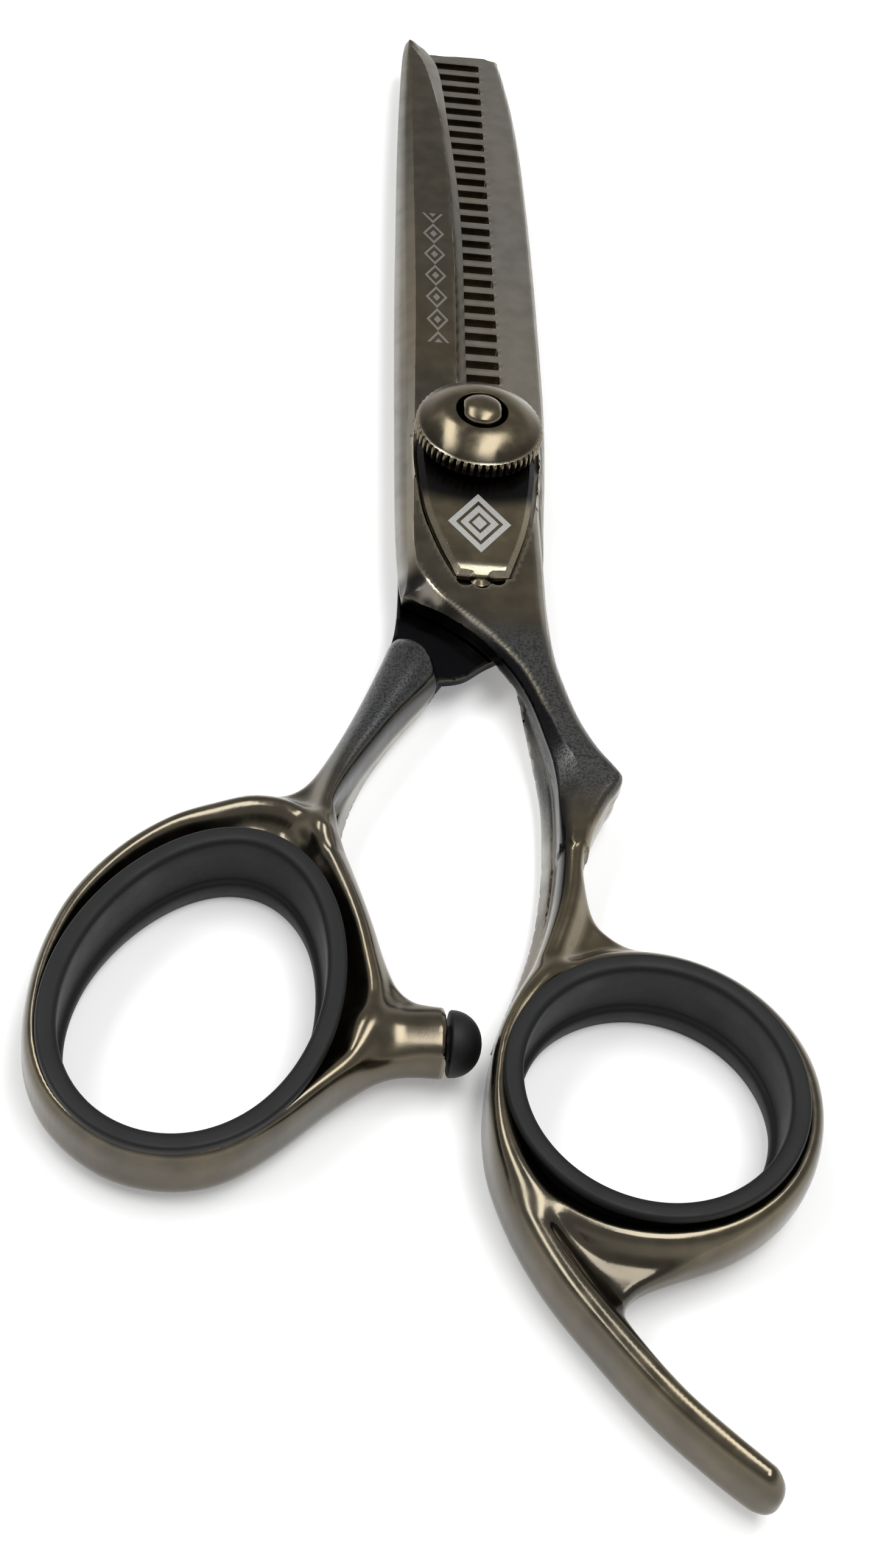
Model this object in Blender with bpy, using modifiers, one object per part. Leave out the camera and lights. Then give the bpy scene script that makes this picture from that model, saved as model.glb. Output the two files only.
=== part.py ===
"""Thinning shears: two forged halves on a bolt, with rubber ring inserts, a bumper and a tension dial.

Frame: the pivot's axis is Z, the blades' tips point along +Y, and Z = 0 is the surface that the closed
shears lie on. Sizes below are in millimetres and are turned into metres by MM.
"""

from math import cos, pi, radians, sin

import bmesh
import bpy
from mathutils import Vector

MM = 0.001

# Heights of the stack on the pivot, from the surface up.
HEAD_TOP = 1.1            # bolt head
COMB_BOTTOM = 1.6         # comb half
COMB_TOP = 3.85
CUT_BOTTOM = 4.15         # cutting half
CUT_TOP = 6.3
POCKET_FLOOR = 5.35       # pocket for the leaf plate
LEAF_BOTTOM = 5.65
LEAF_TOP = 6.65
DIAL_BOTTOM = 7.0         # tension dial: knurled band, then a dome
DIAL_RIM = 8.6
DIAL_TOP = 10.2
BOLT_TOP = 11.0

# Heights of the grips.
GRIP_BOTTOM = 1.5
GRIP_TOP = 6.4
INSERT_TOP = 7.5
INSERT_BOTTOM = 0.0

# Radii round the pivot.
BOLT_R = 2.0
BOLT_HEAD_R = 4.5
BOLT_FLATS = 3.5          # across the two flats
BUSH_R = 2.7
WASHER_R = 4.2
DIAL_R = 6.0
DIAL_HOLE_R = 2.37
KNURLS = 53
KNURL_DEPTH = 0.3
DOME_R = 5.72             # foot of the dial's dome
DOME_FLAT_R = 2.5         # top of the dome, at the edge of the hole
CAVITY_R = 4.7            # hollow under the dial, for the spring washer
CAVITY_TOP = 8.2
SEAT_FLOOR = 3.25         # height of the ride washer's seat in the comb half
GAP = 0.3                 # clearance between pieces that touch
GRIP_EDGE = 1.0           # rounding of the grips' edges
BOLT_CHAMFER = 0.6
HEAD_CHAMFER = 0.3
SPRING_R = 4.3            # spring washer under the dial
THIN_GAP = 0.1            # clearance above and below each washer
WASHER_SINK = 0.5         # depth of the ride washer's lower face in its seat
BUSH_SINK = 0.7           # the bush ends this far below the comb half's top
SPRING_DISH = 0.4         # rise of the spring washer's inner edge, and its thickness
OVERSHOOT = 1.0           # reach of a cutter beyond what it cuts
LIP = 0.3                 # chamfers of the ring inserts

# Finger ring, round, and its rubber insert.
FINGER_CENTRE = (10.9, -70.9)
FINGER_BORE_R = 11.0
FINGER_FLANGE_R = 11.6
FINGER_MOUTH_R = 10.5      # finger hole at the insert's top, waist and foot
FINGER_WAIST_R = 9.8
FINGER_FOOT_R = 10.1

# Thumb ring, an egg-shaped oval whose long axis is tilted.
THUMB_CENTRE = (-23.6, -63.7)
THUMB_TILT = radians(70.9)
THUMB_LONG = 15.2         # half length of the insert's flange
THUMB_SHORT = 10.9        # half width of the insert's flange
THUMB_EGG = -0.094        # how much wider the lower end is
THUMB_BORE = -0.6         # metal's bore, inside the flange's outline
THUMB_MOUTH = -1.1        # finger hole at the insert's top, waist and foot
THUMB_WAIST = -1.8
THUMB_FOOT = -1.3

# Comb.
SLOTS = 26
SLOT_PITCH = 2.14
FIRST_SLOT_Y = 65.4
SLOT_WIDTH = 1.15
SLOT_END_X = 3.1
TOOTH_TIP_X = -2.6

# Outlines in plan. A corner is a point with a third value of 0; the others are smooth.
CUTTING_BLADE = [
    (-4.9, 68.6, 0), (-5.5, 65.6), (-6.1, 56.5), (-6.65, 42.7), (-7.2, 20.8), (-7.55, 0),
    (-7.4, -19.8, 0), (-6.3, -20.6), (-4.4, -21.6), (-2.4, -22.8), (-0.4, -24.4), (1.5, -26.9),
    (3.2, -30.2), (4.3, -35.5, 0), (7.4, -35.5, 0), (5.9, -29.5), (5.0, -23.0), (5.3, -8.0, 0),
    (5.9, -4.0), (6.0, 0.0), (5.2, 2.8), (3.2, 4.6), (0.6, 6.2), (-0.25, 8.6), (-0.1, 22.7),
    (0.0, 38), (-0.6, 51.5), (-1.05, 58.5), (-2.0, 65.3), (-3.0, 67.4), (-4.2, 68.7),
]
FINGER_GRIP = [
    (2.9, -29.6, 0), (4.2, -34.0), (5.0, -38.0), (5.4, -43.0), (5.1, -49.0), (4.2, -54.0),
    (2.6, -58.5), (0.8, -62.3), (-0.9, -66.3), (-1.6, -70.0), (-1.9, -73.5), (-1.6, -77.5),
    (-0.3, -82.0), (1.9, -86.4), (4.7, -90.4), (8.8, -95.6), (12.6, -99.4), (15.6, -101.9),
    (16.9, -102.3), (17.6, -101.5), (17.2, -100.4), (14.2, -97.8), (11.2, -94.9), (8.7, -91.5),
    (7.6, -88.9), (8.7, -86.9), (12.1, -85.2), (16.4, -83.3), (20.2, -80.4), (22.9, -76.6),
    (24.2, -71.5), (23.8, -66.4), (21.6, -62.0), (17.6, -59.0), (13.6, -57.6), (10.6, -56.4),
    (8.4, -54.6), (7.4, -52.4), (7.0, -49.8), (8.1, -45.8), (9.65, -42.5), (10.9, -40.0, 0),
    (9.2, -36.9), (7.7, -33.7), (6.3, -29.6, 0),
]
COMB_BLADE = [
    (TOOTH_TIP_X, 67.4, 0), (4.6, 67.5), (5.5, 66.5), (6.3, 60.5), (7.2, 45), (7.45, 20), (7.35, 8),
    (7.0, 0), (6.5, -7), (5.7, -15), (4.2, -21.2), (-0.1, -26.5), (-1.7, -27.7), (-2.8, -28.2),
    (-3.8, -27.8, 0), (-4.9, -29.5, 0), (-6.6, -33.4, 0), (-11.3, -33.4, 0), (-8.7, -27.4),
    (-7.6, -22), (-7.0, -12), (-6.6, 0), (-5.6, 6), (TOOTH_TIP_X, 9.5, 0),
]
THUMB_GRIP = [
    (-8.0, -26.2), (-9.0, -28.6), (-11.6, -35.0), (-13.8, -40.4), (-15.4, -42.7), (-18.4, -43.6),
    (-22.3, -44.8), (-26.2, -46.6), (-30.3, -49.9), (-33.8, -54.6), (-35.7, -59.7), (-36.5, -64.8),
    (-36.3, -69.6), (-34.8, -73.4), (-32.0, -76.5), (-28.6, -78.4), (-24.6, -78.9), (-20.9, -78.0),
    (-17.2, -75.4), (-12.8, -71.3), (-9.5, -69.2), (-7.0, -68.5), (-4.7, -68.4, 0),
    (-4.7, -63.9, 0), (-6.7, -63.1), (-8.2, -61.4), (-9.2, -58.9), (-10.2, -55.2), (-11.7, -50.2),
    (-12.9, -46.2), (-12.8, -43.2), (-8.6, -35.6), (-5.1, -29.6), (-5.2, -27.7), (-6.5, -26.3),
]
LEAF_PLATE = [
    (-2.45, -17.75, 0), (-4.3, -12.6), (-5.3, -7.0), (-5.6, -2.0), (-5.1, 2.4), (-3.0, 5.0), (0, 5.9),
    (3.0, 5.0), (5.1, 2.4), (5.4, -2.0), (4.9, -7.0), (4.0, -12.4), (2.3, -17.6, 0),
]
LEAF_GAP = 0.45           # the pocket is this much wider than the plate

# Top of the cutting blade by station: y, spine x, left and right x of the flat, edge x, flat z, edge z.
SPINE_Z = 4.9
EDGE_Z = 4.35
ABOVE = CUT_TOP + 0.1
BLADE_TOP = [
    (70.0, -4.9, -4.6, -4.5, -4.0, 5.0, EDGE_Z), (65.8, -5.5, -4.65, -3.7, -1.75, 5.2, EDGE_Z),
    (58.5, -6.0, -4.75, -2.5, -1.05, 5.5, EDGE_Z), (51.5, -6.3, -4.85, -1.75, -0.6, 5.7, EDGE_Z),
    (38.0, -6.75, -5.05, -1.3, 0.0, 6.0, EDGE_Z), (22.7, -7.15, -5.3, -1.25, -0.1, 6.25, EDGE_Z),
    (8.6, -7.45, -5.65, -1.5, -0.25, CUT_TOP, EDGE_Z), (7.0, -7.5, -5.7, -1.5, 0.0, ABOVE, ABOVE),
    (-10.0, -7.6, -6.15, -1.5, 0.0, ABOVE, ABOVE), (-21.0, -7.6, -6.2, -1.5, 0.0, ABOVE, ABOVE),
]

# Bumper, on an axis along +X in the boss of the thumb grip.
BUMPER_AT = (-4.7, -66.2, 3.9)
BUMPER_R = 2.6
BUMPER_TIP = 2.85         # reach of the dome beyond the boss
BUMPER_STEM_R = 1.4
BUMPER_STEM = 2.4

BRONZE = ((0.155, 0.140, 0.115), 0.22, 1.0)
SATIN = ((0.210, 0.200, 0.180), 0.35, 1.0)
DARK = ((0.060, 0.058, 0.055), 0.25, 1.0)
RUBBER = ((0.018, 0.020, 0.021), 0.60, 0.0)
PLASTIC = ((0.55, 0.54, 0.50), 0.45, 0.0)
STEEL = ((0.45, 0.45, 0.44), 0.30, 1.0)


def clear_scene():
    for obj in list(bpy.data.objects):
        bpy.data.objects.remove(obj, do_unlink=True)


def collection(name, hidden=False):
    made = bpy.data.collections.new(name)
    bpy.context.scene.collection.children.link(made)
    made.hide_render = hidden
    return made


def material(name, finish):
    colour, roughness, metallic = finish
    made = bpy.data.materials.new(name)
    made.use_nodes = True
    shader = made.node_tree.nodes["Principled BSDF"]
    shader.inputs["Base Color"].default_value = (*colour, 1)
    shader.inputs["Roughness"].default_value = roughness
    shader.inputs["Metallic"].default_value = metallic
    made.diffuse_color = (*colour, 1)
    return made


def smooth_line(points, steps):
    """The closed outline through the points: a Catmull-Rom curve, straight into each corner."""
    count = len(points)
    line = []
    for i in range(count):
        before, here, after, beyond = (points[(i + k) % count] for k in (-1, 0, 1, 2))
        p1, p2 = Vector(here[:2]), Vector(after[:2])
        p0 = p1 if len(here) > 2 else Vector(before[:2])
        p3 = p2 if len(after) > 2 else Vector(beyond[:2])
        if len(here) > 2 and len(after) > 2:
            line.append(p1)
            continue
        for step in range(steps):
            t = step / steps
            line.append(
                0.5 * (2 * p1 + (p2 - p0) * t + (2 * p0 - 5 * p1 + 4 * p2 - p3) * t * t
                       + (3 * p1 - p0 - 3 * p2 + p3) * t ** 3)
            )
    return line


def oval(offset, steps=48):
    """The thumb insert's outline, moved outwards by offset."""
    line = []
    for i in range(steps):
        turn = 2 * pi * i / steps
        u = (THUMB_LONG + offset) * cos(turn)
        v = (THUMB_SHORT + offset) * (1 + THUMB_EGG * cos(turn)) * sin(turn)
        line.append(Vector((
            THUMB_CENTRE[0] + u * cos(THUMB_TILT) - v * sin(THUMB_TILT),
            THUMB_CENTRE[1] + u * sin(THUMB_TILT) + v * cos(THUMB_TILT),
        )))
    return line


def circle(centre, radius, steps):
    return [
        Vector((centre[0] + radius * cos(2 * pi * i / steps), centre[1] + radius * sin(2 * pi * i / steps)))
        for i in range(steps)
    ]


def from_bmesh(name, work, home):
    """The bmesh as an object, its faces turned outwards."""
    mesh = bpy.data.meshes.new(name)
    bmesh.ops.recalc_face_normals(work, faces=work.faces)
    work.to_mesh(mesh)
    work.free()
    made = bpy.data.objects.new(name, mesh)
    home.objects.link(made)
    return made


def widened(line, by):
    """A closed line moved outwards by a distance."""
    area = sum(a[0] * b[1] - b[0] * a[1] for a, b in zip(line, line[1:] + line[:1]))
    side = 1 if area > 0 else -1
    moved = []
    for i, here in enumerate(line):
        ahead, behind = line[(i + 1) % len(line)] - here, here - line[i - 1]
        along = ahead.normalized() + behind.normalized()
        out = Vector((along[1], -along[0])).normalized() * side
        moved.append(here + out * by)
    return moved


def plate(name, lines, bottom, top, home, edge=0):
    """A flat plate between two heights, from an outer line and any hole lines, its edges rounded by edge."""
    soft = edge * (1 - cos(pi / 4))
    levels = [(edge, bottom), (soft, bottom + soft), (0, bottom + edge)] if edge else [(0, bottom)]
    levels += [(inset, bottom + top - z) for inset, z in reversed(levels)]
    work = bmesh.new()
    caps = [[], []]
    for number, line in enumerate(lines):
        side = 1 if number else -1
        rings = [
            [work.verts.new((x * MM, y * MM, z * MM)) for x, y in widened(line, side * inset)]
            for inset, z in levels
        ]
        for ring, higher in zip(rings, rings[1:]):
            for i in range(len(ring)):
                j = (i + 1) % len(ring)
                work.faces.new((ring[i], ring[j], higher[j], higher[i]))
        for cap, ring in zip(caps, (rings[0], rings[-1])):
            cap += [work.edges.get((ring[i - 1], ring[i])) for i in range(len(ring))]
    for cap in caps:
        bmesh.ops.triangle_fill(work, edges=cap, use_beauty=True, normal=(0, 0, 1))
    return from_bmesh(name, work, home)


def turned(name, profile, home, steps=48, axis="Z", place=(0, 0, 0)):
    """A solid of revolution. The profile is (radius, height) down its outer side."""
    mesh = bpy.data.meshes.new(name)
    points = [(radius * MM, 0, height * MM) for radius, height in profile]
    mesh.from_pydata(points, [(i, i + 1) for i in range(len(points) - 1)], [])
    made = bpy.data.objects.new(name, mesh)
    screw = made.modifiers.new("turn", "SCREW")
    screw.steps = screw.render_steps = steps
    screw.use_merge_vertices = True
    screw.merge_threshold = 0.00001
    made.location = [value * MM for value in place]
    if axis == "X":
        made.rotation_euler = (0, pi / 2, 0)
    home.objects.link(made)
    return made


def box(name, low, high, home):
    """A box between two corners."""
    bpy.ops.mesh.primitive_cube_add(size=MM)
    made = bpy.context.object
    made.name = name
    for mesh_point in made.data.vertices:
        for k in range(3):
            middle, side = (low[k] + high[k]) / 2, high[k] - low[k]
            mesh_point.co[k] = mesh_point.co[k] * side + middle * MM
    for owner in list(made.users_collection):
        owner.objects.unlink(made)
    home.objects.link(made)
    return made


def drill(name, radius, bottom, top, home, axis="Z", place=(0, 0, 0)):
    """A cylinder between two heights on its axis, as a cutter."""
    return turned(name, [(0, top), (radius, top), (radius, bottom), (0, bottom)], home, 32, axis, place)


def join(target, other, operation="UNION"):
    """A Boolean of other on target. The other object becomes a hidden helper."""
    step = target.modifiers.new(f"{operation.lower()} {other.name}", "BOOLEAN")
    step.operation = operation
    step.object = other
    step.solver = "EXACT"
    other.hide_render = True
    other.display_type = "WIRE"


def finish(obj, paint):
    obj.data.materials.clear()
    obj.data.materials.append(paint)
    obj.data.shade_smooth()
    obj.data.set_sharp_from_angle(angle=radians(35))


def above_blade(name, home):
    """Everything above the cutting blade's facets and flat, as a cutter."""
    work = bmesh.new()
    rows = []
    for y, spine, left, right, edge, flat_z, edge_z in BLADE_TOP:
        spine_z = SPINE_Z if flat_z < ABOVE else SPINE_Z + 0.1
        run, fall = edge - right, edge_z - flat_z
        section = [
            (2 * spine - left, 2 * spine_z - flat_z), (left, flat_z), (right, flat_z),
            (edge + run, edge_z + fall), (edge + run, ABOVE + 2), (2 * spine - left, ABOVE + 2),
        ]
        rows.append([work.verts.new((x * MM, y * MM, z * MM)) for x, z in section])
    for row, after in zip(rows, rows[1:]):
        for i in range(len(row)):
            j = (i + 1) % len(row)
            work.faces.new((row[i], row[j], after[j], after[i]))
    work.faces.new(rows[0])
    work.faces.new(rows[-1])
    return from_bmesh(name, work, home)


def cutting_half(parts, cutters, paint):
    blade = plate("cutting_blade_half", [smooth_line(CUTTING_BLADE, 3)], CUT_BOTTOM, CUT_TOP, parts)
    bore = circle(FINGER_CENTRE, FINGER_BORE_R, 48)
    lines = [smooth_line(FINGER_GRIP, 3), bore]
    grip = plate("finger_grip", lines, GRIP_BOTTOM, GRIP_TOP, cutters, GRIP_EDGE)
    join(blade, grip)
    pocket_line = widened(smooth_line(LEAF_PLATE, 3), LEAF_GAP)
    pocket = plate("leaf_pocket", [pocket_line], POCKET_FLOOR, CUT_TOP + OVERSHOOT, cutters)
    join(blade, pocket, "DIFFERENCE")
    bore = drill("cutting_bore", BOLT_R + GAP, CUT_BOTTOM - OVERSHOOT, CUT_TOP + OVERSHOOT, cutters)
    join(blade, bore, "DIFFERENCE")
    join(blade, above_blade("above_blade", cutters), "DIFFERENCE")
    finish(blade, paint)


def comb_half(parts, cutters, paint):
    blade = plate("comb_blade_half", [smooth_line(COMB_BLADE, 3)], COMB_BOTTOM, COMB_TOP, parts)
    lines = [smooth_line(THUMB_GRIP, 3), oval(THUMB_BORE)]
    grip = plate("thumb_grip", lines, GRIP_BOTTOM, GRIP_TOP, cutters, GRIP_EDGE)
    join(blade, grip)
    for i in range(SLOTS):
        y = FIRST_SLOT_Y - SLOT_PITCH * i
        low = (TOOTH_TIP_X - OVERSHOOT, y - SLOT_WIDTH / 2, COMB_BOTTOM - OVERSHOOT)
        high = (SLOT_END_X, y + SLOT_WIDTH / 2, COMB_TOP + OVERSHOOT)
        join(blade, box(f"slot_{i + 1}", low, high, cutters), "DIFFERENCE")
    through = drill("comb_bore", BUSH_R + GAP, COMB_BOTTOM - OVERSHOOT, COMB_TOP + OVERSHOOT, cutters)
    join(blade, through, "DIFFERENCE")
    seat = drill("washer_seat", WASHER_R + GAP, SEAT_FLOOR, COMB_TOP + OVERSHOOT, cutters)
    join(blade, seat, "DIFFERENCE")
    stem = drill("stem_hole", BUMPER_STEM_R + GAP, -BUMPER_STEM - GAP, OVERSHOOT, cutters, "X", BUMPER_AT)
    join(blade, stem, "DIFFERENCE")
    finish(blade, paint)


def loft_ring(name, profile, home, steps=48):
    """A ring whose section is the profile of (offset from the thumb oval, height), outer side down first."""
    work = bmesh.new()
    rings = [
        [work.verts.new((x * MM, y * MM, z * MM)) for x, y in oval(offset, steps)] for offset, z in profile
    ]
    for ring, below in zip(rings, rings[1:] + rings[:1]):
        for i in range(steps):
            j = (i + 1) % steps
            work.faces.new((ring[i], below[i], below[j], ring[j]))
    return from_bmesh(name, work, home)


def insert_profile(flange, neck, mouth, waist, foot):
    """The section of a ring insert, down its outer side and up its inner side."""
    top, bottom = INSERT_TOP, INSERT_BOTTOM
    above, below = GRIP_TOP + GAP, GRIP_BOTTOM - GAP
    return [
        (flange - LIP, top), (flange, top - LIP), (flange, above), (neck, above), (neck, below),
        (flange, below), (flange, bottom + LIP), (flange - LIP, bottom), (foot, bottom),
        (waist, bottom + 1.5), (waist, top - 3.0), (mouth, top - 0.5), (mouth + LIP, top),
    ]


def inserts(parts, paint):
    profile = insert_profile(
        FINGER_FLANGE_R, FINGER_BORE_R - GAP, FINGER_MOUTH_R, FINGER_WAIST_R, FINGER_FOOT_R
    )
    finger = turned("finger_ring_insert", profile + profile[:1], parts, 48, "Z", (*FINGER_CENTRE, 0))
    finish(finger, paint)
    profile = insert_profile(0, THUMB_BORE - GAP, THUMB_MOUTH, THUMB_WAIST, THUMB_FOOT)
    finish(loft_ring("thumb_ring_insert", profile, parts), paint)


def bumper(parts, paint):
    profile = []
    for i in range(7):
        turn = pi / 2 * i / 6
        profile.append((BUMPER_R * sin(turn), GAP + (BUMPER_TIP - GAP) * cos(turn)))
    profile += [(BUMPER_STEM_R, GAP), (BUMPER_STEM_R, -BUMPER_STEM), (0, -BUMPER_STEM)]
    finish(turned("bumper", profile, parts, 24, "X", BUMPER_AT), paint)


def pivot_bolt(parts, cutters, paint):
    profile = [
        (0, BOLT_TOP), (BOLT_R - BOLT_CHAMFER, BOLT_TOP), (BOLT_R, BOLT_TOP - BOLT_CHAMFER),
        (BOLT_R, HEAD_TOP), (BOLT_HEAD_R, HEAD_TOP), (BOLT_HEAD_R, HEAD_CHAMFER),
        (BOLT_HEAD_R - HEAD_CHAMFER, 0), (0, 0),
    ]
    made = turned("pivot_bolt", profile, parts, 32)
    for side in (-1, 1):
        low, high = sorted((side * BOLT_FLATS / 2, side * (BOLT_R + 1)))
        flat = box(f"bolt_flat_{side + 2}", (low, -3, LEAF_BOTTOM - 0.4), (high, 3, BOLT_TOP + 1), cutters)
        join(made, flat, "DIFFERENCE")
    finish(made, paint)


def washer(name, inner, outer, bottom, top, parts, paint, dish=0):
    profile = [
        (inner, top + dish), (outer, top), (outer, bottom), (inner, bottom + dish), (inner, top + dish),
    ]
    finish(turned(name, profile, parts, 32), paint)


def leaf_plate(parts, cutters, paint):
    made = plate("leaf_plate", [smooth_line(LEAF_PLATE, 3)], LEAF_BOTTOM, LEAF_TOP, parts)
    hole = drill("leaf_hole", BOLT_R + GAP, LEAF_BOTTOM - OVERSHOOT, LEAF_TOP + OVERSHOOT, cutters)
    join(made, hole, "DIFFERENCE")
    finish(made, paint)


def tension_dial(parts, cutters, paint):
    band = [
        Vector((r * cos(pi * i / KNURLS), r * sin(pi * i / KNURLS)))
        for i, r in enumerate([DIAL_R, DIAL_R - KNURL_DEPTH] * KNURLS)
    ]
    made = plate("tension_dial", [band], DIAL_BOTTOM, DIAL_RIM, parts)
    steps = 8
    profile = [(0, DIAL_TOP)]
    for i in range(steps + 1):
        share = i / steps
        radius = DOME_FLAT_R + (DOME_R - DOME_FLAT_R) * share
        profile.append((radius, DIAL_TOP - (DIAL_TOP - DIAL_RIM) * share ** 2))
    profile += [(DOME_R, DIAL_RIM - GAP), (0, DIAL_RIM - GAP)]
    join(made, turned("dial_dome", profile, cutters))
    hole = drill("dial_hole", DIAL_HOLE_R, DIAL_BOTTOM - OVERSHOOT, DIAL_TOP + OVERSHOOT, cutters)
    join(made, hole, "DIFFERENCE")
    join(made, drill("dial_cavity", CAVITY_R, DIAL_BOTTOM - OVERSHOOT, CAVITY_TOP, cutters), "DIFFERENCE")
    finish(made, paint)


def main():
    clear_scene()
    parts = collection("thinning_shears")
    cutters = collection("cutters", hidden=True)
    bronze = material("polished_bronze", BRONZE)
    satin = material("satin_blade", SATIN)
    dark = material("dark_polish", DARK)
    rubber = material("black_rubber", RUBBER)
    plastic = material("bearing_plastic", PLASTIC)
    steel = material("spring_steel", STEEL)
    cutting_half(parts, cutters, satin)
    comb_half(parts, cutters, satin)
    inserts(parts, rubber)
    bumper(parts, rubber)
    pivot_bolt(parts, cutters, dark)
    leaf_plate(parts, cutters, bronze)
    tension_dial(parts, cutters, bronze)
    bolt_bore = BOLT_R + GAP
    low, high = HEAD_TOP + THIN_GAP, COMB_BOTTOM - THIN_GAP
    washer("head_washer", bolt_bore, BOLT_HEAD_R, low, high, parts, plastic)
    low, high = COMB_TOP - WASHER_SINK, CUT_BOTTOM - THIN_GAP
    washer("ride_washer", bolt_bore, WASHER_R, low, high, parts, plastic)
    washer("pivot_bush", BOLT_R + THIN_GAP, BUSH_R, COMB_BOTTOM, COMB_TOP - BUSH_SINK, parts, plastic)
    low = DIAL_BOTTOM + THIN_GAP
    washer("spring_washer", bolt_bore, SPRING_R, low, low + SPRING_DISH, parts, steel, SPRING_DISH)


main()
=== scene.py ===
"""Looks of the thinning shears: detailed meshes, procedural materials, light and camera.

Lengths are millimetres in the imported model's frame, and MM turns them into metres. The two forged halves and
the leaf plate are implicit solids, negative inside, turned into meshes whose vertices sit on the surface and
on its sharp edges.
"""

from math import cos, pi, radians, sin

import bmesh
import bpy
import numpy as np
from mathutils import Euler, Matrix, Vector


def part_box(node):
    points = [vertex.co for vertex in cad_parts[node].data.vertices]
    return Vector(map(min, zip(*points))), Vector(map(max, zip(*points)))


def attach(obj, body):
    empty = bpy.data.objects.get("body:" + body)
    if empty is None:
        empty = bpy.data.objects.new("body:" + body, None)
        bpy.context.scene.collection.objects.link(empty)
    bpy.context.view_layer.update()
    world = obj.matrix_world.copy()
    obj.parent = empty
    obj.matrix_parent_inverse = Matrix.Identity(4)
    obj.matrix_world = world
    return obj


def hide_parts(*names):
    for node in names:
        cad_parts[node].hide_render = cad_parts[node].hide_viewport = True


MM = 0.001

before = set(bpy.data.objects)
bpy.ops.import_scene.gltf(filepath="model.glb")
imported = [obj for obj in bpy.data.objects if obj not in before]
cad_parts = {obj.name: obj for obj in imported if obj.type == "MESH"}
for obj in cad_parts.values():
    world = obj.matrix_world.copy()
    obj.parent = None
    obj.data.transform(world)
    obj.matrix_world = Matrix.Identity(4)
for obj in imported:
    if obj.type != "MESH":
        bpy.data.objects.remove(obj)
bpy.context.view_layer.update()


def corner(node, end):
    """The lowest (0) or highest (1) corner of a CAD node, in millimetres."""
    return [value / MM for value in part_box(node)[end]]


# Heights and radii that come from the frame.
CUT_BOTTOM = corner("ride_washer", 1)[2] + 0.1
COMB_BOTTOM = corner("comb_blade_half", 0)[2] + 0.1
COMB_TOP = CUT_BOTTOM - 0.3
GRIP_TOP = corner("comb_blade_half", 1)[2]
GRIP_BOTTOM = corner("comb_blade_half", 0)[2]
GRIP_MIDDLE = (GRIP_TOP + GRIP_BOTTOM) / 2
GRIP_HALF = (GRIP_TOP - GRIP_BOTTOM) / 2
INSERT_TOP = corner("finger_ring_insert", 1)[2]
LEAF_BOTTOM = corner("leaf_plate", 0)[2]
LEAF_TOP = corner("leaf_plate", 1)[2]
DIAL_BOTTOM = corner("tension_dial", 0)[2]
DIAL_TOP = corner("tension_dial", 1)[2]
DIAL_R = corner("tension_dial", 1)[0]
BOLT_TOP = corner("pivot_bolt", 1)[2]
BOLT_HEAD_R = corner("pivot_bolt", 1)[0]

# Cutting half: its flat top, the ledges below its two ridges, and how much the point thins them.
CUT_TOP = 6.3
SPINE_LEDGE = 5.45
OUTLINE_LEDGE = 4.5
EDGE_LEDGE = 4.3
POINT_THINS_TOP = 1.5
POINT_THINS_LEDGE = 0.7
HEEL_SWEEP_R = 28.7
NECK_RISE = 2.1
NECK_FILLET = 0.35
POCKET_GAP = 0.4
POCKET_DEPTH = 0.3
POCKET_LOBES = ((-1.75, -18.4), (-0.25, -18.6), (1.2, -18.1))
LOBE_R = 0.75

# Both grips: the web between crests, and the foot along each shank.
WEB_BOTTOM = 2.2
WEB_ROUNDING = 0.9
CUTTING_WEB_TOP = 4.5
COMB_WEB_TOP = 4.6
FOOT_TOP = 1.9
FOOT_SLOPE = 1.3
FOOT_SWELL = 0.9
FOOT_ROUNDING = 0.5
GRIP_INSET = 0.02
GRIP_EDGE = 0.6
FOOT_FILLET = 0.6
# The power of each tube's section: 2 is an ellipse, and more is squarer.
FINGER_SHANK_POWER = 2.3
THUMB_SHANK_POWER = 2.1
RING_POWER = 2.15
BOSS_POWER = 2.0

# Pivot.
BOLT_HOLE_R = 2.3
BUSH_HOLE_R = 3.0
WASHER_RECESS_R = 4.5
WASHER_RECESS_BOTTOM = 3.25

# Rings.
FINGER_CENTRE = (10.9, -70.9)
FINGER_BORE_R = 11.0
FINGER_FLANGE_R = 11.6
FINGER_CREST_R = 12.15
FINGER_CREST_HALF = 1.12
TANG_TURN = radians(225)
TANG_SPREAD = radians(38)
TANG_SWING = 0.75
THUMB_CENTRE = (-23.6, -63.7)
THUMB_TILT = radians(70.9)
THUMB_LONG = 15.2
THUMB_SHORT = 10.9
THUMB_EGG = -0.094
THUMB_BORE = -0.6

# Comb.
SLOTS = 26
SLOT_PITCH = 2.14
FIRST_SLOT_Y = 65.4
SLOT_WIDTH = 1.15
SLOT_END_X = 3.1
SLOT_ROUNDING = 0.2
TOOTH_TIP_X = -2.6

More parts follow.
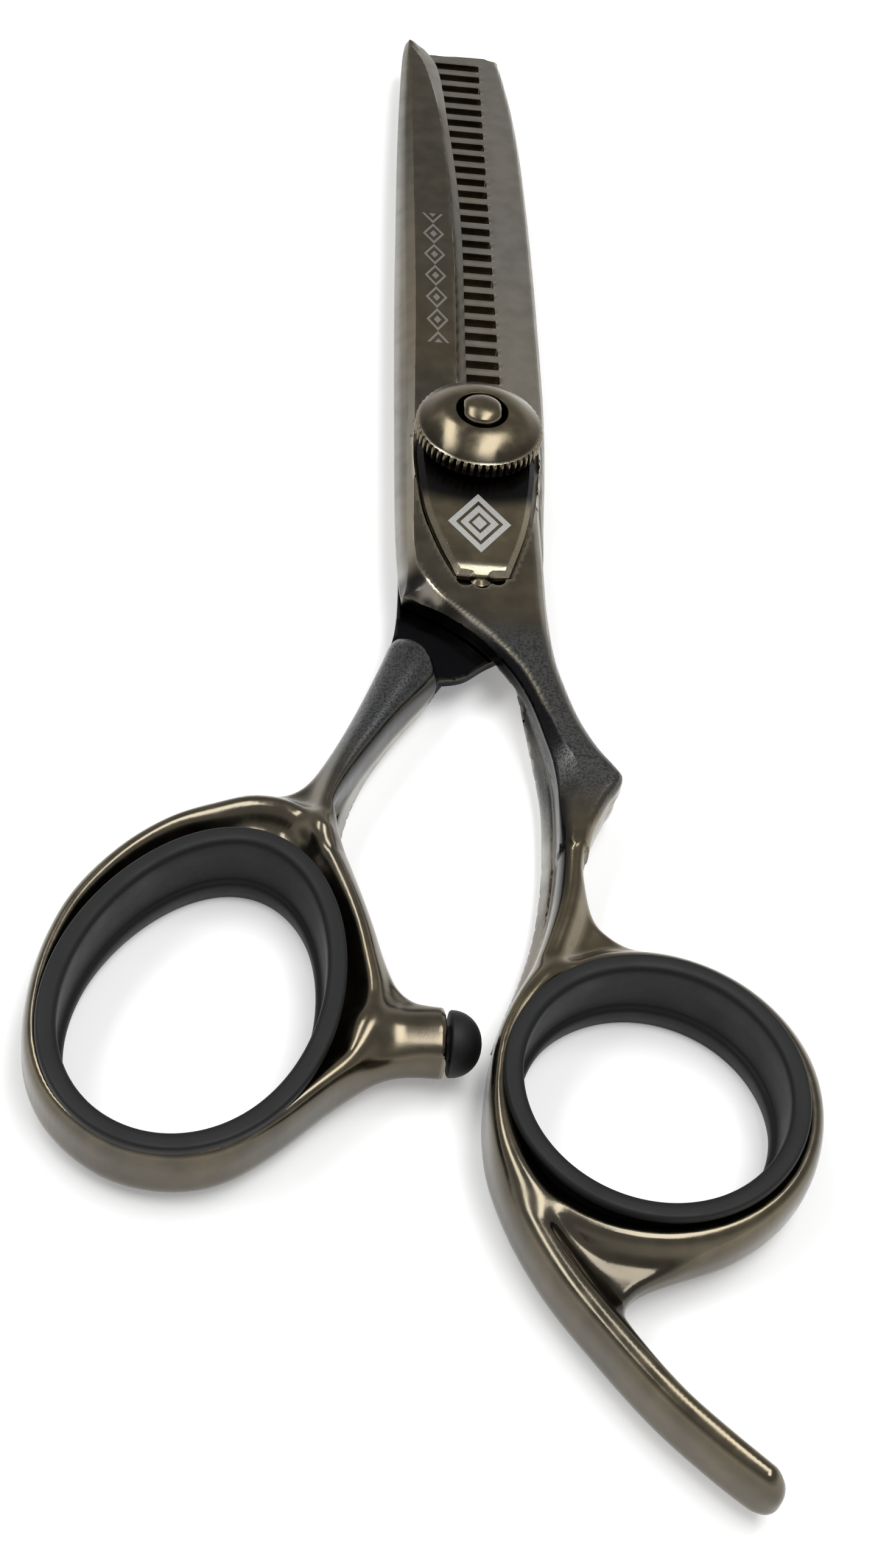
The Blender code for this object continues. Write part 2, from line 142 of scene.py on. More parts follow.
# Outlines in plan. A corner is a point with a third value of 0; the others are smooth.
CUTTING_BLADE = [
    (-4.5, 68.65), (-5.1, 68.3), (-5.4, 67), (-5.7, 64.2), (-6.15, 55.9), (-6.55, 46), (-6.9, 33.6),
    (-7.2, 22), (-7.4, 11), (-7.55, 0.8), (-7.65, -8.9), (-7.6, -14), (-7.45, -17.5), (-7.25, -20.2, 0),
    (-6.3, -20.6), (-5.5, -21.1), (-4.6, -21.5), (-3.7, -22), (-2.6, -22.8), (-1.5, -23.7),
    (-0.5, -24.7), (0.8, -26.3), (1.9, -28), (2.7, -29.5), (3.5, -31.5), (4.1, -33.6), (4.6, -35.7),
    (5.05, -37.7), (5.3, -39.7), (5.4, -42), (5.3, -45.8), (5.1, -48, 0), (7.5, -48, 0), (8.1, -45.8),
    (8.85, -44.1), (9.65, -42.5), (10.45, -41.3), (10.9, -40.3), (10.9, -39.6), (10.3, -38.6),
    (9, -36.6), (7.7, -33.7), (6.65, -30), (5.95, -26.4), (5.6, -21), (5.6, -15), (5.6, -8), (5.95, -4),
    (6, 0), (5.2, 2.8), (3.2, 4.6), (0.6, 6.2), (-0.25, 8.6), (-0.1, 22.4), (0.05, 32), (-0.05, 40),
    (-0.3, 46), (-0.75, 53), (-1.15, 59.4), (-1.6, 63.8), (-2.3, 66.2), (-3.4, 68.1),
]
# The ridge round the flat top of the cutting half. The rest of the outline falls away from it in facets.
CUTTING_FLAT = [
    (5.7, -50, 0), (6.24, -46.4), (6.6, -44), (6.95, -41.6), (7.05, -40), (6.9, -38.7), (6.5, -37.7),
    (5.9, -36.5), (5.1, -34), (4.4, -32.2), (3.75, -30.3), (2.75, -28.2), (1.4, -26.3), (0, -24.6),
    (-1.75, -22.8), (-3.7, -20.7), (-4.5, -19.6), (-5.3, -18.3), (-5.8, -17.2), (-6.05, -16),
    (-6.2, -13.5), (-6.15, -10), (-5.9, -0.6), (-5.6, 9.6), (-5.3, 20.4), (-5.1, 33), (-4.95, 45),
    (-4.8, 55), (-4.65, 62), (-4.5, 67, 0), (-3.5, 64.6), (-2.85, 61.6), (-2.2, 57), (-1.75, 51.7),
    (-1.5, 45.3), (-1.3, 39), (-1.25, 33), (-1.25, 24), (-1.4, 15.9), (-1.55, 9.6), (-1.3, 7.4),
    (3, 7.2, 0), (14, 7, 0), (14, -50, 0),
]
# The lower ridge along the spine. Between the two ridges lies a narrow facet.
CUTTING_SPINE = [
    (-4.75, 70, 0), (-5.1, 64.2), (-5.5, 55), (-5.75, 45), (-6, 33), (-6.2, 21), (-6.35, 10.4),
    (-6.5, 0.2), (-6.7, -9.5), (-6.72, -14.6), (-6.78, -17.8), (-7, -19.5), (-7.35, -20.6, 0),
    (-7, -24, 0), (0, -50, 0), (14, -50, 0), (14, 70, 0),
]
FINGER_GRIP = [
    (3.6, -31.6, 0), (4.2, -34), (5, -38), (5.35, -42), (5.2, -46), (4.8, -50), (4, -54),
    (2.6, -58.5), (0.8, -62.3), (-0.9, -66.3), (-1.6, -70), (-1.9, -73.5), (-1.6, -77.5),
    (-0.3, -82), (1.9, -86.4), (4.7, -90.4), (8.8, -95.6), (12.6, -99.4), (15.6, -101.9),
    (16.9, -102.3), (17.6, -101.5), (17.2, -100.4), (14.2, -97.8), (11.2, -94.9), (8.7, -91.5),
    (7.6, -88.9), (8.7, -86.9), (12.1, -85.2), (16.4, -83.3), (20.2, -80.4), (22.9, -76.6),
    (24.2, -71.5), (23.8, -66.4), (21.6, -62), (17.6, -59), (13.6, -57.6), (10.6, -56.4),
    (8.4, -54.6), (7.4, -52.4), (7, -49.8), (7.8, -46.4), (8.9, -44), (9.6, -42.7, 0),
    (9, -39), (7.4, -35.2), (6, -31.6, 0),
]
# The foot along the inner side of each shank.
FINGER_FOOT = [
    (2.3, -28.4, 0), (2.65, -30), (3, -31.6), (3.45, -33.6), (3.85, -35.6), (4.2, -37.8), (4.4, -40.2),
    (4.4, -43.1), (4.2, -47), (3.7, -51), (2.9, -55), (1.6, -59), (0.2, -62.5), (-0.8, -65.5, 0),
    (1.5, -66, 0), (4.5, -58), (6.2, -50), (6.8, -42), (6.2, -36), (4.6, -31), (3.2, -28.4, 0),
]
THUMB_FOOT = [
    (-3.4, -27.2, 0), (-4.2, -28.6), (-5.5, -30.7), (-7.2, -33.1), (-8.8, -35.7), (-10.1, -38.2),
    (-11, -40.5), (-11.9, -43.2), (-12.6, -46.5, 0), (-14.2, -46, 0), (-13, -41), (-10.5, -36),
    (-8.6, -32), (-7, -29), (-6, -27, 0),
]
COMB_BLADE = [
    (TOOTH_TIP_X, 67.4, 0), (4.6, 67.6), (5.5, 66.6), (6.2, 61.6), (6.75, 55.8), (7.2, 46.5), (7.45, 32),
    (7.45, 18), (7.35, 8), (7, 0), (6.5, -7), (5.9, -15), (4.4, -21), (2.2, -24.6), (-0.1, -26.5),
    (-1.6, -27.8), (-2.7, -28.3), (-4.2, -28.6, 0), (-5, -29.8, 0), (-8, -32.4, 0), (-9.6, -30.4, 0),
    (-8.9, -27.4), (-7.7, -22), (-7.2, -12), (-6.6, 0), (-5.6, 6), (TOOTH_TIP_X, 9.5, 0),
]
THUMB_GRIP = [
    (-8.3, -25.4), (-9.5, -28.6), (-11.9, -34.6), (-13.9, -38.9), (-15.8, -41.7), (-18.4, -43.3),
    (-22.3, -44.8), (-26.2, -46.6), (-30.3, -49.9), (-33.8, -54.6), (-35.7, -59.7), (-36.5, -64.8),
    (-36.3, -69.6), (-34.8, -73.4), (-32, -76.5), (-28.6, -78.4), (-24.6, -78.9), (-20.9, -78),
    (-17.2, -75.4), (-12.8, -71.3), (-9.5, -69.2), (-7, -68.5), (-4.7, -68.5, 0),
    (-4.7, -63.6, 0), (-6.7, -62.9), (-8.2, -61.4), (-9.2, -58.9), (-10.2, -55.2), (-11.7, -50.2),
    (-12.9, -46.2), (-12.8, -43.2), (-8.6, -35.6), (-4.9, -30.2), (-4.3, -29), (-4.8, -27.6),
    (-6.1, -25.8), (-7.2, -25.1),
]
LEAF_PLATE = [
    (-2.45, -17.75, 0), (-3.4, -15.4), (-4.2, -12.9), (-4.95, -10), (-5.35, -6.8), (-5.6, -2),
    (-5.1, 2.4), (-3, 5), (0, 5.9), (3, 5), (5.1, 2.4), (5.4, -2), (4.95, -7),
    (4, -12.2), (2.3, -17.6, 0), (0.9, -17.75, 0), (0.55, -18.3), (-0.2, -18.6), (-0.95, -18.35),
    (-1.3, -17.8, 0),
]

# Crests of the grips: x, y, half width, middle height, half height.
FINGER_CREST = [
    (6.75, -43, 1.5, 3.8, 2.2), (6.6, -46, 1.5), (6.15, -50, 1.3), (5.6, -53.2, 1.2),
    (4.7, -56.2, 1.2), (3.4, -59.6, 1.2), (1.8, -63, 1.2), (0.4, -66.5, 1.2), (-0.3, -70, 1.2),
    (-0.6, -73.6, 1.2), (-0.35, -77.3, 1.25), (0.9, -81.4, 1.3), (3, -85.7, 1.35), (5.9, -90, 1.4),
    (9.8, -94.9, 1.45), (13.4, -98.5, 1.4), (16, -100.8, 1.2),
]
THUMB_CREST = [
    (-6.6, -27.4, 2.35, 4.2, 2.1), (-7.3, -29.4, 2.35), (-8.6, -32.4, 2), (-10, -35.4, 1.7),
    (-11.6, -38.6, 1.45), (-12.9, -41.6, 1.3), (-13.8, -44.6, 1.2), (-14.2, -47.6, 1.1),
]
THUMB_RING_CREST = [
    (-35.7, -65, 0.9), (-35.5, -69.3, 0.95), (-34.1, -73.2, 1), (-31.5, -76, 1.05),
    (-28.3, -77.6, 1.1), (-24.5, -78, 1.15), (-21, -77, 1.15), (-17.7, -74.6, 1.2),
    (-14.3, -71.4, 1.25), (-12, -69, 1.2), (-10.7, -66.2, 1.2), (-10.3, -62.8, 1.1),
    (-10.8, -59.3, 1), (-11.5, -56, 1), (-12.7, -52.3, 1.05), (-14.2, -48.8, 1.1),
    (-16.5, -45.9, 1.15), (-19.6, -45.2, 1.15), (-22.8, -46.2, 1.15), (-26.4, -47.9, 1.05),
    (-30, -51.1, 1), (-33.1, -55.5, 0.95), (-34.9, -60.2, 0.9),
]
BOSS_CREST = [(-11.5, -66.2, 1.9, 3.9, 2.1), (-8, -66.1, 2.25, 3.9, 2.2), (-3, -66, 2.5, 3.95, 2.4)]
BOSS_FACE_X = -4.7
BOSS_TOP_Y = -60

# Bumper.
BUMPER_AT = (BOSS_FACE_X, -66.2, 3.9)
BUMPER_R = 2.6
BUMPER_RIM = 0.5
BUMPER_DOME = 2.35
STEM_R = 1.4
STEM_LENGTH = 2.4
STEM_HOLE_R = 1.7
STEM_HOLE_END_X = -7.4

# Dial and bolt.
KNURLS = 53
KNURL_DEPTH = 0.42
RIM_HEIGHT = 1.62
THROAT_R = 2.37
DIAL_HOLLOW_R = 4.7
DIAL_HOLLOW_TOP = 8.2
DOME_FLAT_R = 2.2
DOME_CURVE = 0.127
BOLT_R = 2.0
BOLT_HEAD_TOP = 1.1
BOLT_FLAT_X = 1.75
BOLT_FLATS_FROM = 6.0


# ---- implicit solids

# Far enough to be clear of the whole object, and small enough to be nothing.
CLEAR_ABOVE = 9
CLEAR_BELOW = -9
CLEAR_LEFT = -50
FAR = 200
TINY = 1e-6
# The side of a tile in plan, and how many times a surface crossing is narrowed.
TILE = 3.0
TILES_A_ROW = 1000
REFINEMENTS = 3
# How strongly a vertex is held to the middle of its crossings.
HOLD = 0.04


def smooth_line(points, steps=6, closed=True):
    """The points of a Catmull-Rom curve through rows of numbers, straight into each corner."""
    rows = [np.array(point if len(point) != 3 or point[2] else point[:2], float) for point in points]
    corners = [len(point) == 3 and point[2] == 0 for point in points]
    width = min(len(row) for row in rows)
    rows = np.array([row[:width] for row in rows])
    count = len(rows)
    line = []
    for i in range(count if closed else count - 1):
        if closed:
            before, after, beyond = rows[i - 1], rows[(i + 1) % count], rows[(i + 2) % count]
        else:
            before, after, beyond = rows[max(i - 1, 0)], rows[i + 1], rows[min(i + 2, count - 1)]
        here = rows[i]
        if corners[i]:
            before = here
        if corners[(i + 1) % count]:
            beyond = after
        for t in np.linspace(0, 1, 1 if corners[i] and corners[(i + 1) % count] else steps, endpoint=False):
            line.append(
                0.5 * (2 * here + (after - before) * t + (2 * before - 5 * here + 4 * after - beyond) * t ** 2
                       + (3 * here - before - 3 * after + beyond) * t ** 3)
            )
    if not closed:
        line.append(rows[-1])
    return np.array(line)


def crest_line(points, closed=False):
    """A smooth crest whose rows are filled up to x, y, half width, middle height, half height."""
    usual = (0, 0, 1, GRIP_MIDDLE, GRIP_HALF)
    return smooth_line([tuple(point) + usual[len(point):] for point in points], 5, closed)


def distance(x, y, line, closed=True):
    """Distance to a line in plan, the further values of the line at its closest point, and what is inside.

    The points are taken tile by tile, and each tile looks only at the segments that can be its closest.
    """
    starts = line if closed else line[:-1]
    ends = np.roll(line, -1, axis=0) if closed else line[1:]
    (from_x, from_y), (along_x, along_y) = starts[:, :2].T, (ends - starts)[:, :2].T
    squares = np.maximum(along_x ** 2 + along_y ** 2, 1e-12)
    slope = along_x / np.where(along_y == 0, 1, along_y)
    all_x, all_y = x.ravel(), y.ravel()
    away, inside = np.empty(all_x.size), np.zeros(all_x.size, bool)
    carried = np.zeros((all_x.size, line.shape[1] - 2))
    tile = np.floor(all_x / TILE) * TILES_A_ROW + np.floor(all_y / TILE)
    order = np.argsort(tile, kind="stable")
    for members in np.split(order, np.flatnonzero(np.diff(tile[order])) + 1):
        px, py = all_x[members], all_y[members]
        middle_x, middle_y = px.mean(), py.mean()
        reach = np.hypot(px - middle_x, py - middle_y).max()
        t = np.clip(((middle_x - from_x) * along_x + (middle_y - from_y) * along_y) / squares, 0, 1)
        far = np.hypot(middle_x - from_x - t * along_x, middle_y - from_y - t * along_y)
        near = np.flatnonzero(far <= far.min() + 2 * reach + TINY)
        dx, dy = px[:, None] - from_x[near], py[:, None] - from_y[near]
        t = np.clip((dx * along_x[near] + dy * along_y[near]) / squares[near], 0, 1)
        gap = (dx - t * along_x[near]) ** 2 + (dy - t * along_y[near]) ** 2
        best = gap.argmin(axis=1)
        rows = np.arange(len(members))
        away[members] = np.sqrt(gap[rows, best])
        chosen = near[best]
        further = ends[chosen, 2:] - starts[chosen, 2:]
        carried[members] = starts[chosen, 2:] + t[rows, best][:, None] * further
        if closed:
            end_y = from_y + along_y
            starts_under = np.minimum(from_y, end_y) <= py.max()
            ends_over = np.maximum(from_y, end_y) >= py.min()
            level = np.flatnonzero(starts_under & ends_over)
            straddles = (from_y[level] > py[:, None]) != (end_y[level] > py[:, None])
            crosses = px[:, None] - from_x[level] < (py[:, None] - from_y[level]) * slope[level]
            inside[members] = (straddles & crosses).sum(axis=1) % 2 == 1
    shape = x.shape
    return away.reshape(shape), [column.reshape(shape) for column in carried.T], inside.reshape(shape)


def signed(x, y, line):
    """Distance to a closed line, negative inside it."""
    away, _, inside = distance(x, y, line)
    return np.where(inside, -away, away)


def tube(plan, z, power):
    """A tube along a crest. Its section is a superellipse."""
    away, (width, middle, height) = plan
    reach = (away / width) ** power + (np.abs(z - middle) / height) ** power
    return (reach ** (1 / power) - 1) * np.minimum(width, height)


def slab(away, z, low, high, rounding):
    """A plate between two heights whose edges are rounded."""
    side = away + rounding
    rise = np.maximum(low - z, z - high) + rounding
    corner_gap = np.hypot(np.maximum(side, 0), np.maximum(rise, 0))
    return np.minimum(np.maximum(side, rise), 0) + corner_gap - rounding


def melt(a, b, width):
    """Union of two solids with a fillet."""
    t = np.clip(0.5 + 0.5 * (b - a) / width, 0, 1)
    return b + (a - b) * t - width * t * (1 - t)


def trim(a, b, width):
    """Intersection of two solids with a rounded edge."""
    return -melt(-a, -b, width)


def ease(value, start, end):
    """0 before start, 1 after end, smooth between."""
    t = np.clip((value - start) / (end - start), 0, 1)
    return t * t * (3 - 2 * t)


def dual_mesh(plan, solid, low, high, step):
    """Vertices and quads of the surface where solid is 0. Each vertex fits the planes that cross its cell."""
    low = np.array(low, float)
    axes = [np.arange(a, b + step, step) for a, b in zip(low, high)]
    x, y = np.meshgrid(axes[0], axes[1], indexing="ij")
    fields = plan(x, y)
    values = np.stack([solid(fields, z) for z in axes[2]], axis=2)
    outside = values > 0
    starts, ends, first, second, rings = [], [], [], [], []
    for axis in range(3):
        unit = np.eye(3, dtype=int)[axis]
        here = tuple(slice(0, -1) if k == axis else slice(1, -1) for k in range(3))
        there = tuple(slice(1, None) if k == axis else slice(1, -1) for k in range(3))
        index = np.argwhere(outside[here] != outside[there]) + (1 - unit)
        starts.append(low + index * step)
        ends.append(low + (index + unit) * step)
        first.append(values[tuple(index.T)])
        second.append(values[tuple((index + unit).T)])
        b, c = (axis + 1) % 3, (axis + 2) % 3
        ring = []
        for over_b, over_c in ((-1, -1), (0, -1), (0, 0), (-1, 0)):
            cell = index.copy()
            cell[:, b] += over_b
            cell[:, c] += over_c
            ring.append(np.ravel_multi_index(cell.T, values.shape))
        ring = np.stack(ring, axis=1)
        turned_in = first[-1] > 0
        ring[turned_in] = ring[turned_in, ::-1]
        rings.append(ring)
    starts, ends = np.concatenate(starts), np.concatenate(ends)
    first, second = np.concatenate(first), np.concatenate(second)
    for _ in range(REFINEMENTS):
        crossing = starts + (ends - starts) * (first / (first - second))[:, None]
        found = at(plan, solid, crossing)
        same = (found > 0) == (first > 0)
        starts = np.where(same[:, None], crossing, starts)
        first = np.where(same, found, first)
        ends = np.where(same[:, None], ends, crossing)
        second = np.where(same, second, found)
    faced = gradient(plan, solid, crossing)
    cells, where = np.unique(np.concatenate(rings), return_inverse=True)
    quads = where.reshape(-1, 4)
    owner = quads.reshape(-1)
    points, normals = np.repeat(crossing, 4, axis=0), np.repeat(faced, 4, axis=0)
    count = np.bincount(owner)
    middle = np.stack([np.bincount(owner, points[:, k]) / count for k in range(3)], axis=1)
    facing = np.stack([np.bincount(owner, normals[:, k]) / count for k in range(3)], axis=1)
    reach = (normals * (points - middle[owner])).sum(axis=1)
    matrix = np.empty((len(cells), 3, 3))
    right = np.empty((len(cells), 3))
    for i in range(3):
        right[:, i] = np.bincount(owner, normals[:, i] * reach)
        for j in range(3):
            matrix[:, i, j] = np.bincount(owner, normals[:, i] * normals[:, j])
    matrix += HOLD * np.eye(3)
    move = np.linalg.solve(matrix, right[:, :, None])[:, :, 0]
    corner_of = low + np.stack(np.unravel_index(cells, values.shape), axis=1) * step
    return np.clip(middle + move, corner_of, corner_of + step), quads, corner_normals(quads, faced), facing


def corner_normals(quads, faced, spread=16):
    """The normal at each quad corner: the mean over the vertex's quads that face much the same way."""
    owner = quads.reshape(-1)
    order = np.argsort(owner, kind="stable")
    first = np.searchsorted(owner[order], owner[order])
    rank = np.arange(len(owner)) - first
    table = np.zeros((owner.max() + 1, rank.max() + 1, 3))
    table[owner[order], rank] = faced[order // 4]
    round_it = table[owner]
    own = np.repeat(faced, 4, axis=0)
    alike = np.einsum("ijk,ik->ij", round_it, own) > cos(radians(spread))
    mean = (round_it * alike[:, :, None]).sum(axis=1)
    return mean / np.linalg.norm(mean, axis=1)[:, None]


def at(plan, solid, points):
    """The solid's value at each point."""
    return solid(plan(points[:, 0], points[:, 1]), points[:, 2])


def gradient(plan, solid, points, reach=0.02):
    """Unit normals of the solid's surface at the points."""
    x, y, z = points.T
    level = plan(x, y)
    rise = np.stack([
        solid(plan(x + reach, y), z) - solid(plan(x - reach, y), z),
        solid(plan(x, y + reach), z) - solid(plan(x, y - reach), z),
        solid(level, z + reach) - solid(level, z - reach),
    ], axis=1)
    return rise / np.maximum(np.linalg.norm(rise, axis=1), 1e-9)[:, None]


# ---- forged halves

def thumb_oval(offset, steps=72):
    """The thumb insert's outline in plan, moved outwards by offset."""
    turn = np.linspace(0, 2 * pi, steps, endpoint=False)
    u = (THUMB_LONG + offset) * np.cos(turn)
    v = (THUMB_SHORT + offset) * (1 + THUMB_EGG * np.cos(turn)) * np.sin(turn)
    return np.stack([
        THUMB_CENTRE[0] + u * cos(THUMB_TILT) - v * sin(THUMB_TILT),
        THUMB_CENTRE[1] + u * sin(THUMB_TILT) + v * cos(THUMB_TILT),
    ], axis=1)


def finger_ring_crest():
    """The finger ring's crest. It swings out where the ring meets the tang."""
    rows = []
    for turn in np.linspace(0, 2 * pi, 36, endpoint=False):
        radius = FINGER_CREST_R + TANG_SWING * np.exp(-((turn - TANG_TURN) / TANG_SPREAD) ** 2)
        x, y = FINGER_CENTRE[0] + radius * cos(turn), FINGER_CENTRE[1] + radius * sin(turn)
        rows.append((x, y, FINGER_CREST_HALF))
    return rows


def cutting_half():
    """The forging with the plain blade, the finger ring and the finger rest."""
    outline, flat, spine = smooth_line(CUTTING_BLADE), smooth_line(CUTTING_FLAT), smooth_line(CUTTING_SPINE)
    grip, foot, leaf = smooth_line(FINGER_GRIP), smooth_line(FINGER_FOOT), smooth_line(LEAF_PLATE)
    shank, ring = crest_line(FINGER_CREST), crest_line(finger_ring_crest(), closed=True)

    def plan(x, y):
        to_shank, to_ring = distance(x, y, shank, False), distance(x, y, ring)
        lobes = [np.hypot(x - lobe_x, y - lobe_y) - LOBE_R for lobe_x, lobe_y in POCKET_LOBES]
        pocket = np.minimum(signed(x, y, leaf) - POCKET_GAP, np.minimum.reduce(lobes))
        return {
            "x": x, "y": y, "outline": signed(x, y, outline), "flat": signed(x, y, flat),
            "spine": signed(x, y, spine), "foot": signed(x, y, foot),
            "grip": signed(x, y, grip), "pocket": pocket, "pivot": np.hypot(x, y),
            "bore": np.hypot(x - FINGER_CENTRE[0], y - FINGER_CENTRE[1]) - FINGER_BORE_R,
            "shank": to_shank[:2], "ring": to_ring[:2],
        }

    def solid(p, z):
        x, y = p["x"], p["y"]
        thin = ease(y, 18, 78)
        top = CUT_TOP - POINT_THINS_TOP * thin
        edge = np.where(y > 7, ease(x, -4.9, -3.4), 0)
        ledge = (SPINE_LEDGE - POINT_THINS_LEDGE * thin) * (1 - edge) + EDGE_LEDGE * edge
        inside = np.maximum(-p["outline"], 0)
        share = inside / np.maximum(inside + np.maximum(p["spine"], 0), TINY)
        below = OUTLINE_LEDGE + (ledge - OUTLINE_LEDGE) * share
        inner = np.maximum(np.minimum(inside, -p["spine"]), 0)
        facet = ledge + (top - ledge) * inner / np.maximum(inner + np.maximum(p["flat"], 0), TINY)
        facet = np.where(p["spine"] > 0, below, facet)
        facet = np.where(p["flat"] < 0, CLEAR_ABOVE, facet)
        right = ease(-p["flat"], 0.2, 1.2) * ease(-y, 0, 10)
        blade = slab(p["outline"], z, CLEAR_BELOW, top, 0.1 + 0.85 * right)
        blade = np.maximum(blade, (z - facet) * 0.8)
        blade = np.maximum(blade, CUT_BOTTOM - z)
        web = slab(p["grip"], z, WEB_BOTTOM, CUTTING_WEB_TOP, WEB_ROUNDING)
        grip = melt(tube(p["shank"], z, FINGER_SHANK_POWER), tube(p["ring"], z, RING_POWER), 1.2)
        grip = melt(grip, web, 1.9)
        grip = trim(grip, p["grip"] + GRIP_INSET, GRIP_EDGE)
        rise = NECK_RISE * (1 - ease(-y, 27, 38))
        lower = slab(p["outline"] + 0.15, z, GRIP_BOTTOM + 0.1 + rise, 5.0, 0.5)
        lower = np.maximum(lower, y + 27)
        grip = melt(grip, lower, FOOT_FILLET)
        foot_top = FOOT_TOP + 0.5 * rise + np.clip(-FOOT_SLOPE * p["foot"], 0, FOOT_SWELL)
        grip = melt(grip, slab(p["foot"], z, GRIP_BOTTOM + rise, foot_top, FOOT_ROUNDING), FOOT_FILLET)
        grip = np.maximum(grip, -np.maximum(p["pivot"] - HEEL_SWEEP_R, z - CUT_BOTTOM))
        body = melt(blade, grip, NECK_FILLET)
        body = np.maximum(body, -p["bore"])
        body = np.maximum(body, -np.maximum(p["pocket"], LEAF_BOTTOM - POCKET_DEPTH - z))
        return np.maximum(body, BOLT_HOLE_R - p["pivot"])

    def marks(p, z, facing):
        """Where the skin is soft, lightened by painted reflection, blackened by painted shade and dark
        reflection, pitted, and lit along its ridge by a painted highlight.
        """
        x, y, upwards = p["x"], p["y"], facing[:, 2]
        soft = (y < -46) | ((y < -27) & (p["flat"] > 0.25) & (z < 5.6))
        # Painted reflection: the left chamfer, the edge bevel, the foot and the shoulder are lightened as if
        # they mirrored the pale floor and the strips.
        chamfer = ease(p["spine"], -0.1, 0.1) * ease(y, -21, -19) * (upwards > 0.15)
        bevel = ease(p["flat"], 0.05, 0.45) * ease(x, -3.9, -3.0) * ease(y, 6.5, 7.5)
        foot = ease(-z, -2.9, -2.5) * ease(-y, 26, 28) * ease(x, -20, -19)
        shoulder = ease(p["outline"], -1.0, -0.5) * ease(-y, -3, 1) * (1 - ease(-y, 37, 41)) * (p["flat"] < 0)
        chamfer = chamfer * (0.75 - 0.55 * ease(-p["outline"], 0.1, 0.8))
        bevel = bevel * (0.14 + 0.3 * ease(p["flat"], 0.1, 1.2))
        light = np.maximum.reduce([
            chamfer, bevel, 0.8 * foot * (1 - ease(-y, 46, 60)), 0.45 * shoulder,
        ])
        # Painted shade and dark reflection: walls facing the comb, the ring's walls, the neck's corner facet
        # and the hollow by the tang are blackened.
        inner = ease(-facing[:, 0], 0.35, 0.7) * ease(z, 2.9, 3.3) * ease(-y, 23, 27) * (1 - ease(-y, 50, 62))
        wall = ease(-y, 46, 50) * (1 - ease(np.abs(upwards), 0.3, 0.7))
        corner_facet = ease(-y, 16.5, 18.5) * (1 - ease(-y, 22, 25)) * ease(p["flat"], 0, 0.2)
        hollow = ease(-y, 83, 85) * (1 - ease(z, 4.9, 5.6)) * (upwards > 0.2) * ease(p["shank"][0], 1.0, 1.8)
        inner = np.maximum.reduce([inner, 0.35 * wall, 0.8 * corner_facet, 0.45 * hollow])
        pits = ease(-y, 21, 26) * (1 - ease(-y, 39, 47)) * ease(upwards, 0.2, 0.5) * (1 - 0.7 * shoulder)
        # Painted highlight: a bright line along the top's ridge at the neck.
        ridge = 1 - ease(np.abs(p["flat"]), 0.03, 0.17)
        ridge = 0.6 * ridge * ease(-y, 15.5, 18.5) * (1 - ease(-y, 30, 36))
        return soft, light, 0.95 * inner, pits, ridge * (z > 5.5)

    return plan, solid, (-8.2, -103.2, 1.0), (25.2, 69.6, 7.2), marks


